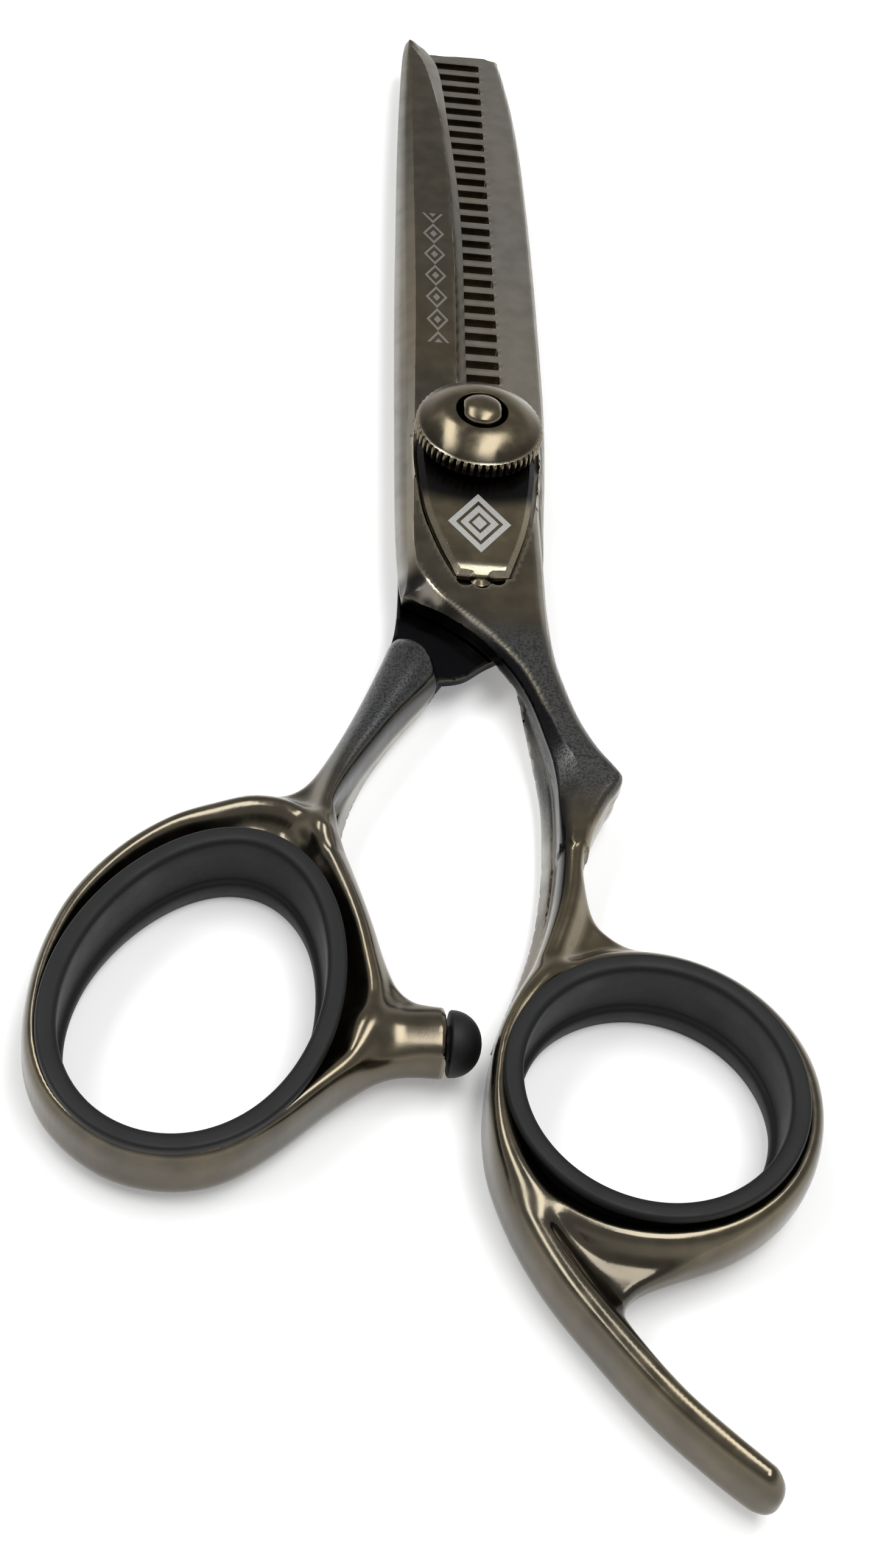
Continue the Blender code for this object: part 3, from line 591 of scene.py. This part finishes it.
def comb_half():
    """The forging with the comb, the thumb ring and the bumper's boss."""
    outline, grip = smooth_line(COMB_BLADE), smooth_line(THUMB_GRIP)
    shank, ring = crest_line(THUMB_CREST), crest_line(THUMB_RING_CREST, closed=True)
    boss, bore, foot = crest_line(BOSS_CREST), thumb_oval(THUMB_BORE), smooth_line(THUMB_FOOT)

    def plan(x, y):
        number = np.clip(np.round((FIRST_SLOT_Y - y) / SLOT_PITCH), 0, SLOTS - 1)
        across = np.abs(y - FIRST_SLOT_Y + number * SLOT_PITCH) - SLOT_WIDTH / 2
        slot = slab(across, x, CLEAR_LEFT, SLOT_END_X, SLOT_ROUNDING)
        return {
            "x": x, "y": y, "outline": signed(x, y, outline), "grip": signed(x, y, grip),
            "slot": slot, "pivot": np.hypot(x, y), "bore": signed(x, y, bore),
            "shank": distance(x, y, shank, False)[:2], "ring": distance(x, y, ring)[:2],
            "boss": distance(x, y, boss, False)[:2], "foot": signed(x, y, foot),
        }

    def solid(p, z):
        under = COMB_BOTTOM + (0.5 + 0.4 * ease(-p["y"], 10, 18)) * np.maximum(p["outline"] + 1.6, 0)
        blade = slab(p["outline"], z, CLEAR_BELOW, COMB_TOP, 0.12 + 0.6 * ease(p["x"], 3.5, 5.5))
        blade = np.maximum(blade, (under - z) * 0.9)
        blade = np.maximum(blade, -p["slot"])
        web = slab(p["grip"], z, WEB_BOTTOM, COMB_WEB_TOP, WEB_ROUNDING)
        grip = melt(tube(p["shank"], z, THUMB_SHANK_POWER), tube(p["ring"], z, RING_POWER), 1.5)
        grip = melt(grip, tube(p["boss"], z, BOSS_POWER), 1.8)
        grip = melt(grip, web, 2.0)
        grip = trim(grip, p["grip"] + GRIP_INSET, GRIP_EDGE)
        foot_top = FOOT_TOP + np.clip(-FOOT_SLOPE * p["foot"], 0, FOOT_SWELL)
        grip = melt(grip, slab(p["foot"], z, GRIP_BOTTOM, foot_top, FOOT_ROUNDING), FOOT_FILLET)
        grip = np.maximum(grip, p["x"] - BOSS_FACE_X - FAR * (p["y"] > BOSS_TOP_Y))
        body = melt(blade, grip, 0.5)
        body = np.maximum(body, -p["bore"])
        body = np.maximum(body, BUSH_HOLE_R - p["pivot"])
        stem = np.hypot(p["y"] - BUMPER_AT[1], z - BUMPER_AT[2]) - STEM_HOLE_R
        body = np.maximum(body, -np.maximum(stem, STEM_HOLE_END_X - p["x"]))
        return np.maximum(body, -np.maximum(p["pivot"] - WASHER_RECESS_R, WASHER_RECESS_BOTTOM - z))

    def marks(p, z, facing):
        """Where the skin is soft, lightened by painted reflection, blackened by painted shade and dark
        reflection, and pitted.
        """
        x, y, upwards = p["x"], p["y"], facing[:, 2]
        soft = ((y < -30) | ((x < -6.5) & (y < -27))) & (x < BOSS_FACE_X - 0.5)
        # Painted reflection and highlight: the comb's upward faces, its right edge and the foot are lightened.
        body = ease(x, TOOTH_TIP_X - 1, TOOTH_TIP_X) * ease(y, -14, -8) * ease(upwards, 0.5, 0.8)
        edge = ease(x, 3.8, 5.0) * ease(p["outline"], -0.9, -0.3) * ease(y, -27, -20)
        foot = ease(-z, -2.9, -2.5) * ease(-y, 26, 28) * (y > -48)
        light = np.maximum.reduce([0.3 * body, 0.6 * edge, 0.8 * foot])
        # Painted shade and dark reflection: the ring's walls, the ride face in the neck and the shank's right
        # wall are blackened.
        wall = 0.35 * ease(-y, 42, 46) * (1 - ease(np.abs(upwards), 0.3, 0.7))
        ride = ease(-y, 6, 18) * (1 - ease(-y, 29, 30)) * (p["outline"] < 0.15)
        ride = ride * (z < COMB_TOP + 0.15)
        inner = ease(facing[:, 0], 0.62, 0.85) * ease(z, 2.9, 3.3) * ease(-y, 23, 27) * (1 - ease(-y, 44, 50))
        pits = ease(-y, 18, 20) * (1 - ease(-y, 36, 44)) * (1 - ease(facing[:, 0], 0.55, 0.8))
        pits = pits * ease(z, COMB_TOP + 0.1, COMB_TOP + 0.5)
        dark = np.maximum.reduce([ride, 0.95 * inner * (x < -4), wall])
        return soft, light, dark, pits, np.zeros(len(x))

    return plan, solid, (-37.2, -79.6, 1.0), (7.8, 68.2, 7.2), marks


def leaf_plate():
    """The spring plate under the dial, with its rolled lower lip."""
    outline = smooth_line(LEAF_PLATE)

    def plan(x, y):
        return {"x": x, "y": y, "outline": signed(x, y, outline), "pivot": np.hypot(x, y)}

    def solid(p, z):
        rolled = 0.28 * ease(-p["y"], 16.5, 18.0) + 0.4 * ease(-p["y"], 17.75, 18.0)
        body = slab(p["outline"], z, LEAF_BOTTOM - 0.2, LEAF_TOP - rolled, 0.15)
        body = np.maximum(body, LEAF_BOTTOM - z)
        face = z - LEAF_TOP + 0.75 * np.maximum(p["outline"] + 0.5, 0) + rolled
        return np.maximum(np.maximum(body, face * 0.8), BOLT_HOLE_R - p["pivot"])

    def marks(p, z, facing):
        """Where the skin is soft, lightened, blackened by a painted shadow and reflection of the dial, pitted,
        and rubbed at its rim or lit on its rolled lip by a painted highlight.
        """
        # The rim is rubbed lighter; the rolled lip carries a painted highlight; under the dial the plate is
        # blackened by a painted shadow and dark reflection of the dial.
        rim = ease(p["outline"], -0.55, -0.35) * (z > LEAF_TOP - 0.5)
        rolled = ease(-p["y"], 16.2, 17.0) * (1 - ease(-p["y"], 17.6, 17.8))
        under_dial = 1 - ease(np.hypot(0.75 * p["x"], p["y"]), 7.9, 10.0)
        edge = np.maximum(0.22 * rim, 0.5 * rolled) * (1 - under_dial)
        none = np.zeros(len(rim))
        return none > 0, none, 0.97 * under_dial, none, edge

    return plan, solid, (-6.4, -19.4, LEAF_BOTTOM - 0.4), (6.4, 6.8, LEAF_TOP + 0.4), marks


# ---- meshes

def add_object(name, points, faces, sharp=35):
    """A mesh object from points in millimetres, smooth but for edges past an angle."""
    mesh = bpy.data.meshes.new(name)
    mesh.from_pydata((np.asarray(points) * MM).tolist(), [], np.asarray(faces).tolist())
    mesh.update()
    made = bpy.data.objects.new(name, mesh)
    bpy.context.scene.collection.objects.link(made)
    mesh.shade_smooth()
    mesh.set_sharp_from_angle(angle=radians(sharp))
    return made


def grid_faces(rows, columns, close_rows=False):
    """Quads of a grid of points that closes on itself across its columns."""
    faces = []
    for i in range(rows if close_rows else rows - 1):
        for j in range(columns):
            a, b = i * columns + j, i * columns + (j + 1) % columns
            c, d = (i + 1) % rows * columns + (j + 1) % columns, (i + 1) % rows * columns + j
            faces.append((a, b, c, d))
    return faces


def rounded(profile, radii, steps=5):
    """A profile of (offset, height) whose corners are rounded, each by its own radius."""
    count = len(profile)
    line = []
    for i in range(count):
        here = Vector(profile[i])
        before, after = Vector(profile[i - 1]), Vector(profile[(i + 1) % count])
        if not radii[i]:
            line.append(tuple(here))
            continue
        back, ahead = (before - here), (after - here)
        reach = min(radii[i], back.length * 0.48, ahead.length * 0.48)
        start, end = here + back.normalized() * reach, here + ahead.normalized() * reach
        for k in range(steps + 1):
            t = k / steps
            line.append(tuple(start * (1 - t) ** 2 + here * 2 * t * (1 - t) + end * t * t))
    return line


def spun(name, profile, centre=(0, 0, 0), steps=96, closed=False, axis="Z", shape=None):
    """A solid of revolution. Shape may change a radius, given the radius, height and turn."""
    rows = []
    for radius, height in profile:
        for k in range(steps):
            turn = 2 * pi * k / steps
            r = shape(radius, height, turn) if shape else radius
            if axis == "Z":
                rows.append((centre[0] + r * cos(turn), centre[1] + r * sin(turn), centre[2] + height))
            else:
                rows.append((centre[0] + height, centre[1] + r * cos(turn), centre[2] + r * sin(turn)))
    faces = grid_faces(len(profile), steps, closed)
    made = add_object(name, rows, faces)
    return made if closed else face_out(made, merge=1e-7)


def face_out(made, merge=0.0):
    """Turns the faces of a closed mesh outwards. Points nearer than merge, in metres, become one first."""
    work = bmesh.new()
    work.from_mesh(made.data)
    if merge:
        bmesh.ops.remove_doubles(work, verts=work.verts, dist=merge)
    bmesh.ops.recalc_face_normals(work, faces=work.faces)
    work.to_mesh(made.data)
    work.free()
    return made


def stand_in(made, node, body, paint):
    """Puts a finished piece in the place of its CAD node."""
    made.data.materials.append(paint)
    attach(made, body)
    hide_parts(node)
    return made


def insert_profile(flange, neck, mouth, waist, foot):
    """The section of a ring insert as (offset, height), up the outside and down the inside."""
    above = GRIP_TOP + 0.25
    profile = [
        (neck, 0), (neck, above), (flange, above), (flange, INSERT_TOP), (mouth, INSERT_TOP),
        (mouth, INSERT_TOP - 1.5), (waist, INSERT_TOP - 2.4), (waist, 2.6), (waist - 0.55, 2.2),
        (waist - 0.55, 1.4), (foot, 0),
    ]
    radii = [0.3, 0, 0.25, 0.75, 0.75, 0.8, 0.8, 0.3, 0.35, 0.5, 0.3]
    return rounded(profile, radii)


def finger_insert():
    """The round rubber of the finger ring."""
    profile = insert_profile(FINGER_FLANGE_R + 0.1, FINGER_BORE_R - 0.3, 10.15, 10.25, 10.1)
    return face_out(spun("finger_insert", profile, (*FINGER_CENTRE, 0), 160, closed=True))


def thumb_insert():
    """The oval rubber of the thumb ring."""
    profile = insert_profile(0.1, THUMB_BORE - 0.3, -1.5, -1.4, -1.5)
    rows = [np.column_stack([thumb_oval(offset, 144), np.full(144, height)]) for offset, height in profile]
    made = add_object("thumb_insert", np.concatenate(rows), grid_faces(len(profile), 144, True))
    return face_out(made)


def bumper_piece():
    """The rubber dome and its stem."""
    profile = [(0, BUMPER_RIM + BUMPER_DOME)]
    for k in range(1, 13):
        turn = pi / 2 * k / 12
        profile.append((BUMPER_R * sin(turn) ** 0.92, BUMPER_RIM + BUMPER_DOME * cos(turn)))
    profile += [(BUMPER_R, 0.4), (BUMPER_R - 0.1, 0.3), (STEM_R, 0.3)]
    profile += [(STEM_R, -STEM_LENGTH), (0, -STEM_LENGTH)]
    return spun("bumper_dome", profile, BUMPER_AT, 64, axis="X")


def dial_piece():
    """The domed dial with its knurled side."""
    rim_r, rim_z = DIAL_R - 0.28, DIAL_BOTTOM + RIM_HEIGHT
    profile = [(DIAL_HOLLOW_R, DIAL_HOLLOW_TOP), (DIAL_HOLLOW_R, DIAL_BOTTOM), (DIAL_R - 0.35, DIAL_BOTTOM)]
    profile += [(DIAL_R - 0.1, DIAL_BOTTOM + 0.15), (DIAL_R, DIAL_BOTTOM + 0.35), (DIAL_R, rim_z - 0.35)]
    profile += [(DIAL_R - 0.08, rim_z - 0.15), (rim_r + 0.05, rim_z - 0.02), (rim_r, rim_z)]
    for k in range(1, 25):
        radius = rim_r - (rim_r - 2.55) * k / 24
        profile.append((radius, min(DIAL_TOP, DIAL_TOP + 0.005 - DOME_CURVE * (radius - DOME_FLAT_R) ** 2)))
    profile += [(2.45, DIAL_TOP - 0.04), (2.38, DIAL_TOP - 0.15)]
    profile += [(THROAT_R, DIAL_TOP - 0.4), (THROAT_R, DIAL_HOLLOW_TOP)]

    def knurled(radius, height, turn):
        if radius < rim_r + 0.02 or height > rim_z - 0.05:
            return radius
        return radius - KNURL_DEPTH * max(0.0, 0.5 + 0.5 * cos(turn * KNURLS)) ** 2.2

    made = face_out(spun("knurled_dial", profile, (0, 0, 0), KNURLS * 10, closed=True, shape=knurled))
    place = coordinates(made)
    radius = np.hypot(place[:, 0], place[:, 1])
    # Painted shade in the knurl grooves and the throat, a painted dark reflection on the outer dome, and a
    # painted highlight along the rim's edge.
    groove = ease(DIAL_R - radius, 0.12, 0.34) * (place[:, 2] < rim_z - 0.1) * (radius > DIAL_R - 0.5)
    throat = ease(2.5 - radius, 0, 0.1)
    edge = (1 - ease(np.abs(radius - rim_r), 0.03, 0.12)) * (place[:, 2] > rim_z - 0.2)
    painted_dark_rim = 0.55 * ease(radius, 4.4, 5.6) * (radius < rim_r)
    paint_marks(made, 0.1 * edge, np.maximum.reduce([groove, throat, painted_dark_rim]), 0 * edge, 0.3 * edge)
    return made


def bolt_piece():
    """The pivot bolt: its flat head below, and its crowned end with two flats above."""
    head = BOLT_HEAD_R
    profile = [(0, 0), (head - 0.35, 0), (head - 0.1, 0.08), (head, 0.3), (head, BOLT_HEAD_TOP - 0.05)]
    profile += [(head - 0.05, BOLT_HEAD_TOP), (BOLT_R, BOLT_HEAD_TOP), (BOLT_R, 7.0)]
    profile += [(BOLT_R, BOLT_TOP - 0.8), (1.92, BOLT_TOP - 0.58), (1.75, BOLT_TOP - 0.42)]
    profile += [(1.4, BOLT_TOP - 0.24), (1.0, BOLT_TOP - 0.12), (0.6, BOLT_TOP - 0.04), (0, BOLT_TOP)]
    made = spun("bolt_end", profile, (0, 0, 0), 96)
    for point in made.data.vertices:
        if point.co.z > BOLT_FLATS_FROM * MM:
            point.co.x = max(-BOLT_FLAT_X * MM, min(BOLT_FLAT_X * MM, point.co.x))
    return made


def coordinates(made):
    """The piece's vertices in millimetres."""
    place = np.empty(len(made.data.vertices) * 3)
    made.data.vertices.foreach_get("co", place)
    return place.reshape(-1, 3) / MM


def paint_marks(made, light, black, pitted, edge):
    """Stores how far each vertex is lightened by painted reflection, blackened by painted shade and pitted,
    and how far its edge is rubbed or lit by a painted highlight.
    """
    painted_light_and_pits = made.data.attributes.new("painted_light_and_pits", "FLOAT_COLOR", "POINT")
    rows = np.clip(np.stack([light, black, pitted, np.ones(len(light))], axis=1), 0, 1)
    painted_light_and_pits.data.foreach_set("color", rows.astype(np.float32).reshape(-1))
    wear_and_highlight = made.data.attributes.new("wear_and_highlight", "FLOAT", "POINT")
    wear_and_highlight.data.foreach_set("value", np.clip(edge, 0, 1).astype(np.float32))


# ---- materials

# Painted reflection: a light grey painted where the metal would mirror the pale floor and the strips.
PAINTED_REFLECTION_GREY = (0.56, 0.55, 0.52)
PITTED_METAL = (0.04, 0.042, 0.046)
PIT_SPECKS = (0.135, 0.138, 0.142)
# Rubbed edges, and the painted highlights along ridges, the leaf's rolled lip and the dial's rim.
PAINTED_SHADE_AND_REFLECTION = (0.012, 0.012, 0.014)
# Painted shade and dark reflection: near black painted into walls, hollows, knurl grooves and under the dial.
WORN_EDGE_AND_HIGHLIGHT = (0.62, 0.56, 0.43)
ETCHED = (0.3, 0.29, 0.26)
SILVER = (0.62, 0.62, 0.6)


def shader(name, base, roughness, metallic=1.0):
    """A new material with its tree and its shader."""
    made = bpy.data.materials.new(name)
    made.use_nodes = True
    tree = made.node_tree
    bsdf = tree.nodes["Principled BSDF"]
    bsdf.inputs["Base Color"].default_value = (*base, 1)
    bsdf.inputs["Roughness"].default_value = roughness
    bsdf.inputs["Metallic"].default_value = metallic
    return made, tree, bsdf


def add_node(tree, kind, **values):
    """A node with its inputs set by name and its settings by attribute."""
    node = tree.nodes.new(kind)
    for key, value in values.items():
        if key in node.inputs:
            if isinstance(value, bpy.types.NodeSocket):
                tree.links.new(value, node.inputs[key])
            else:
                node.inputs[key].default_value = value
        else:
            setattr(node, key, value)
    return node


def mix(tree, factor, a, b, kind="RGBA"):
    """The output of a mix whose ends are sockets or constants."""
    node = add_node(tree, "ShaderNodeMix", data_type=kind)
    sockets = [socket for socket in node.inputs if socket.enabled]
    outputs = [socket for socket in node.outputs if socket.enabled]
    for socket, value in zip(sockets, (factor, a, b)):
        if isinstance(value, bpy.types.NodeSocket):
            tree.links.new(value, socket)
        else:
            socket.default_value = (*value, 1) if isinstance(value, tuple) else value
    return outputs[0]


def span(tree, value, low, high, start=0.0, end=1.0):
    """A value taken from one range to another."""
    node = add_node(tree, "ShaderNodeMapRange", Value=value)
    for name, number in (("From Min", low), ("From Max", high), ("To Min", start), ("To Max", end)):
        node.inputs[name].default_value = number
    return node.outputs["Result"]


def maths(tree, operation, *values):
    """The output of a Math node whose inputs are sockets or constants."""
    node = add_node(tree, "ShaderNodeMath", operation=operation)
    for socket, value in zip(node.inputs, values):
        if isinstance(value, bpy.types.NodeSocket):
            tree.links.new(value, socket)
        else:
            socket.default_value = value
    return node.outputs[0]


def off_middle(tree, value, middle, scale):
    """How far a value is from its middle, scaled."""
    return maths(tree, "MULTIPLY", maths(tree, "ABSOLUTE", maths(tree, "ADD", value, -middle)), scale)


CHAIN_X = -3.2
CHAIN_Y = 24.5
CHAIN_HALF = 10.5
CHAIN_BOTTOM = 4.9
LINK_HALF = 1.75
LINK_SLIMNESS = 0.9


def lozenge_chain(tree, place):
    """A generic etched chain of lozenges along the flat of the cutting blade."""
    split = add_node(tree, "ShaderNodeSeparateXYZ", Vector=place)
    across = off_middle(tree, split.outputs["X"], CHAIN_X, LINK_SLIMNESS)
    along = maths(tree, "MULTIPLY", maths(tree, "PINGPONG", split.outputs["Y"], LINK_HALF), 1 / LINK_HALF)
    reach = maths(tree, "ADD", across, along)
    outer = maths(tree, "COMPARE", reach, 0.86, 0.13)
    line = maths(tree, "MAXIMUM", outer, maths(tree, "LESS_THAN", reach, 0.34))
    within = maths(tree, "MULTIPLY", line, maths(tree, "COMPARE", split.outputs["Y"], CHAIN_Y, CHAIN_HALF))
    return maths(tree, "MULTIPLY", within, maths(tree, "GREATER_THAN", split.outputs["Z"], CHAIN_BOTTOM))


BADGE_CENTRE = (-0.2, -11.4)
BADGE_HALF = (2.9, 3.8)


def lozenge_badge(tree, place):
    """A generic silvered badge on the leaf plate: nested lozenges."""
    split = add_node(tree, "ShaderNodeSeparateXYZ", Vector=place)
    across = off_middle(tree, split.outputs["X"], BADGE_CENTRE[0], 1 / BADGE_HALF[0])
    along = off_middle(tree, split.outputs["Y"], BADGE_CENTRE[1], 1 / BADGE_HALF[1])
    reach = maths(tree, "ADD", across, along)
    outer, inner = maths(tree, "COMPARE", reach, 0.68, 0.07), maths(tree, "COMPARE", reach, 0.3, 0.06)
    gaps = maths(tree, "MAXIMUM", outer, inner)
    return maths(tree, "MULTIPLY", maths(tree, "LESS_THAN", reach, 1.0), maths(tree, "SUBTRACT", 1.0, gaps))


def bronze(name, plain, warm, rough, ornament=None, silver=ETCHED):
    """Forged metal whose hue and polish drift. The piece's marks paint reflection and shade into it, pit it,
    and rub its edges or paint highlights on them.
    """
    made, tree, bsdf = shader(name, plain, rough[0])
    place = add_node(tree, "ShaderNodeTexCoord").outputs["Object"]
    place = add_node(tree, "ShaderNodeMapping", Vector=place, Scale=(1000, 1000, 1000)).outputs[0]
    drift = add_node(tree, "ShaderNodeTexNoise", Vector=place, Scale=0.06, Detail=3.0).outputs["Fac"]
    cloud = add_node(tree, "ShaderNodeTexNoise", Vector=place, Scale=0.5, Detail=5.0).outputs["Fac"]
    fine = add_node(tree, "ShaderNodeTexNoise", Vector=place, Scale=7.0, Detail=3.0).outputs["Fac"]
    speck = add_node(tree, "ShaderNodeTexNoise", Vector=place, Scale=5.0, Detail=4.0).outputs["Fac"]
    marks = add_node(tree, "ShaderNodeAttribute", attribute_name="painted_light_and_pits").outputs["Color"]
    marks = add_node(tree, "ShaderNodeSeparateColor", Color=marks).outputs
    wear_and_highlight = add_node(tree, "ShaderNodeAttribute", attribute_name="wear_and_highlight").outputs["Fac"]
    colour = mix(tree, span(tree, drift, 0.35, 0.65), plain, warm)
    colour = mix(tree, span(tree, cloud, 0.3, 0.75, 0.0, 0.4), colour, tuple(1.6 * value for value in warm))
    # Red mark: painted reflection, mixed towards the light grey.
    light = maths(tree, "MULTIPLY", marks["Red"], span(tree, cloud, 0.3, 0.6, 0.75, 1.0))
    colour = mix(tree, light, colour, PAINTED_REFLECTION_GREY)
    pits = maths(tree, "MULTIPLY", marks["Blue"], span(tree, speck, 0.42, 0.56))
    colour = mix(tree, maths(tree, "MULTIPLY", marks["Blue"], 0.8), colour, PITTED_METAL)
    colour = mix(tree, maths(tree, "MULTIPLY", pits, 0.75), colour, PIT_SPECKS)
    # Green mark: painted shade and dark reflection.
    colour = mix(tree, marks["Green"], colour, PAINTED_SHADE_AND_REFLECTION)
    # Rubbed edges and painted highlights.
    edge_wear_and_highlight = maths(tree, "MULTIPLY", wear_and_highlight, span(tree, speck, 0.3, 0.55, 0.55, 1.0))
    colour = mix(tree, edge_wear_and_highlight, colour, WORN_EDGE_AND_HIGHLIGHT)
    polish = span(tree, cloud, 0.35, 0.65, *rough)
    polish = mix(tree, span(tree, marks["Red"], 0.0, 0.3), polish, 0.4, "FLOAT")
    polish = mix(tree, marks["Blue"], polish, 0.3, "FLOAT")
    if ornament:
        mask = ornament(tree, place)
        shown = maths(tree, "MULTIPLY", mask, span(tree, fine, 0.2, 0.6, 0.7, 1.0))
        colour = mix(tree, shown, colour, silver)
        polish = mix(tree, mask, polish, 0.45, "FLOAT")
    height = maths(tree, "ADD", maths(tree, "MULTIPLY", fine, 0.35), pits)
    relief = add_node(tree, "ShaderNodeBump", Strength=0.12, Distance=0.00006, Height=height)
    tree.links.new(colour, bsdf.inputs["Base Color"])
    tree.links.new(polish, bsdf.inputs["Roughness"])
    tree.links.new(relief.outputs["Normal"], bsdf.inputs["Normal"])
    return made


def moulded(name, colour, gloss):
    """Rubber or plastic with a fine moulded grain, handled to a patchy sheen."""
    made, tree, bsdf = shader(name, colour, 0.5, 0.0)
    bsdf.inputs["Specular IOR Level"].default_value = gloss
    place = add_node(tree, "ShaderNodeTexCoord").outputs["Object"]
    fine = add_node(tree, "ShaderNodeTexNoise", Vector=place, Scale=9000.0, Detail=2.0)
    cloud = add_node(tree, "ShaderNodeTexNoise", Vector=place, Scale=260.0, Detail=3.0)
    sheen = span(tree, cloud.outputs["Fac"], 0.0, 1.0, 0.42, 0.68)
    relief = add_node(tree, "ShaderNodeBump", Strength=0.12, Distance=0.0001, Height=fine.outputs["Fac"])
    tree.links.new(sheen, bsdf.inputs["Roughness"])
    tree.links.new(relief.outputs["Normal"], bsdf.inputs["Normal"])
    return made


# ---- stage

FLOOR_HALF = 2.0
FLOOR_GAP = 0.00005
LIGHT_AIM = (0, -0.02, 0)


def area_light(name, place, size, power):
    """A white strip light, in metres, that faces the object."""
    data = bpy.data.lights.new(name, "AREA")
    data.shape = "RECTANGLE"
    data.size, data.size_y = size
    data.energy = power
    made = bpy.data.objects.new(name, data)
    made.location = place
    made.rotation_euler = (Vector(LIGHT_AIM) - Vector(place)).to_track_quat("-Z", "X").to_euler()
    bpy.context.scene.collection.objects.link(made)


def stage():
    """A plain pale floor, an even sky that dims overhead, and two soft strips."""
    side = FLOOR_HALF
    corners = [(-side, -side, 0), (side, -side, 0), (side, side, 0), (-side, side, 0)]
    mesh = bpy.data.meshes.new("floor")
    mesh.from_pydata(corners, [], [(0, 1, 2, 3)])
    floor = bpy.data.objects.new("floor", mesh)
    floor.location.z = -FLOOR_GAP
    bpy.context.scene.collection.objects.link(floor)
    made, _, bsdf = shader("pale_floor", (0.92, 0.92, 0.92), 0.9, 0.0)
    bsdf.inputs["Specular IOR Level"].default_value = 0.1
    bsdf.inputs["Emission Color"].default_value = (1, 1, 1, 1)
    bsdf.inputs["Emission Strength"].default_value = 0.2
    mesh.materials.append(made)
    world = bpy.data.worlds.new("studio")
    world.use_nodes = True
    world_tree = world.node_tree
    background = world_tree.nodes["Background"]
    background.inputs["Color"].default_value = (1, 1, 1, 1)
    way = add_node(world_tree, "ShaderNodeTexCoord").outputs["Generated"]
    split = add_node(world_tree, "ShaderNodeSeparateXYZ", Vector=way)
    strength = span(world_tree, split.outputs["Z"], 0.0, 0.5, 0.9, 0.36)
    strength.node.interpolation_type = "SMOOTHSTEP"
    world_tree.links.new(strength, background.inputs["Strength"])
    bpy.context.scene.world = world
    area_light("left_strip", (-0.31, 0.10, 0.57), (0.16, 0.6), 1.8)
    area_light("right_strip", (0.16, -0.05, 0.64), (0.24, 0.6), 2.7)
    bpy.context.scene.view_settings.view_transform = "Standard"


CAMERA_PLACE = (-27.05, -165.11, 151.82)
CAMERA_TURN = (40.05, -7.37, -1.62)
LENS = 53.57
SENSOR = 36


def camera():
    """The camera at the photograph's angle and distance."""
    data = bpy.data.cameras.new("camera")
    data.sensor_width = SENSOR
    data.lens = LENS
    data.clip_start = 0.01
    made = bpy.data.objects.new("camera", data)
    made.location = Vector(CAMERA_PLACE) * MM
    made.rotation_euler = Euler([radians(turn) for turn in CAMERA_TURN])
    bpy.context.scene.collection.objects.link(made)
    bpy.context.scene.camera = made


# ---- build

# The mesh's cell, in millimetres, for the forgings and for the thinner leaf plate.
STEP = 0.29
LEAF_STEP = 0.15


def forged(name, half, node, body, paint, step=STEP):
    """Meshes an implicit solid, marks its surface and puts it in the place of its CAD node."""
    plan, solid, low, high, marks = half
    points, quads, normals, facing = dual_mesh(plan, solid, low, high, step)
    soft, light, black, pitted, edge = marks(plan(points[:, 0], points[:, 1]), points[:, 2], facing)
    made = add_object(name, points, quads, 180)
    if soft.any():
        exact = np.zeros(points.shape)
        exact[soft] = gradient(plan, solid, points[soft], 0.06)
        owner = quads.reshape(-1)
        normals = np.where(soft[owner][:, None], exact[owner], normals)
    made.data.normals_split_custom_set(normals.tolist())
    crease = 1 - np.linalg.norm(facing, axis=1)
    # Sharp creases are rubbed lighter; the edge values from the marks add painted highlights.
    edge_wear_and_highlight = np.maximum(edge, 0.4 * ease(crease, 0.05, 0.2) * ~soft)
    paint_marks(made, light, black, pitted, edge_wear_and_highlight * (1 - 0.75 * black))
    return stand_in(made, node, body, paint)


def main():
    steel = bronze("forged_bronze", (0.104, 0.098, 0.082), (0.15, 0.125, 0.083), (0.16, 0.24), lozenge_chain)
    comb = bronze("forged_comb_bronze", (0.108, 0.102, 0.087), (0.15, 0.125, 0.084), (0.17, 0.25))
    leaf = bronze("leaf_bronze", (0.13, 0.115, 0.08), (0.19, 0.155, 0.10), (0.2, 0.28), lozenge_badge, SILVER)
    dial = bronze("dial_bronze", (0.105, 0.092, 0.066), (0.17, 0.14, 0.092), (0.13, 0.3))
    spring = bronze("spring_steel", (0.42, 0.42, 0.41), (0.48, 0.46, 0.43), (0.2, 0.32))
    black = moulded("black_rubber", (0.004, 0.0043, 0.0048), 0.32)
    plastic = moulded("bearing_plastic", (0.7, 0.69, 0.65), 0.5)
    forged("cutting_half", cutting_half(), "cutting_blade_half", "cutting_side", steel)
    forged("comb_half", comb_half(), "comb_blade_half", "comb_side", comb)
    stand_in(finger_insert(), "finger_ring_insert", "cutting_side", black)
    stand_in(thumb_insert(), "thumb_ring_insert", "comb_side", black)
    stand_in(bumper_piece(), "bumper", "comb_side", black)
    stand_in(dial_piece(), "tension_dial", "dial", dial)
    stand_in(bolt_piece(), "pivot_bolt", "cutting_side", dial)
    forged("leaf_spring_plate", leaf_plate(), "leaf_plate", "cutting_side", leaf, LEAF_STEP)
    for name in ("head_washer", "pivot_bush", "ride_washer"):
        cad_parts[name].material_slots[0].material = plastic
    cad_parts["spring_washer"].material_slots[0].material = spring
    stage()
    camera()


main()
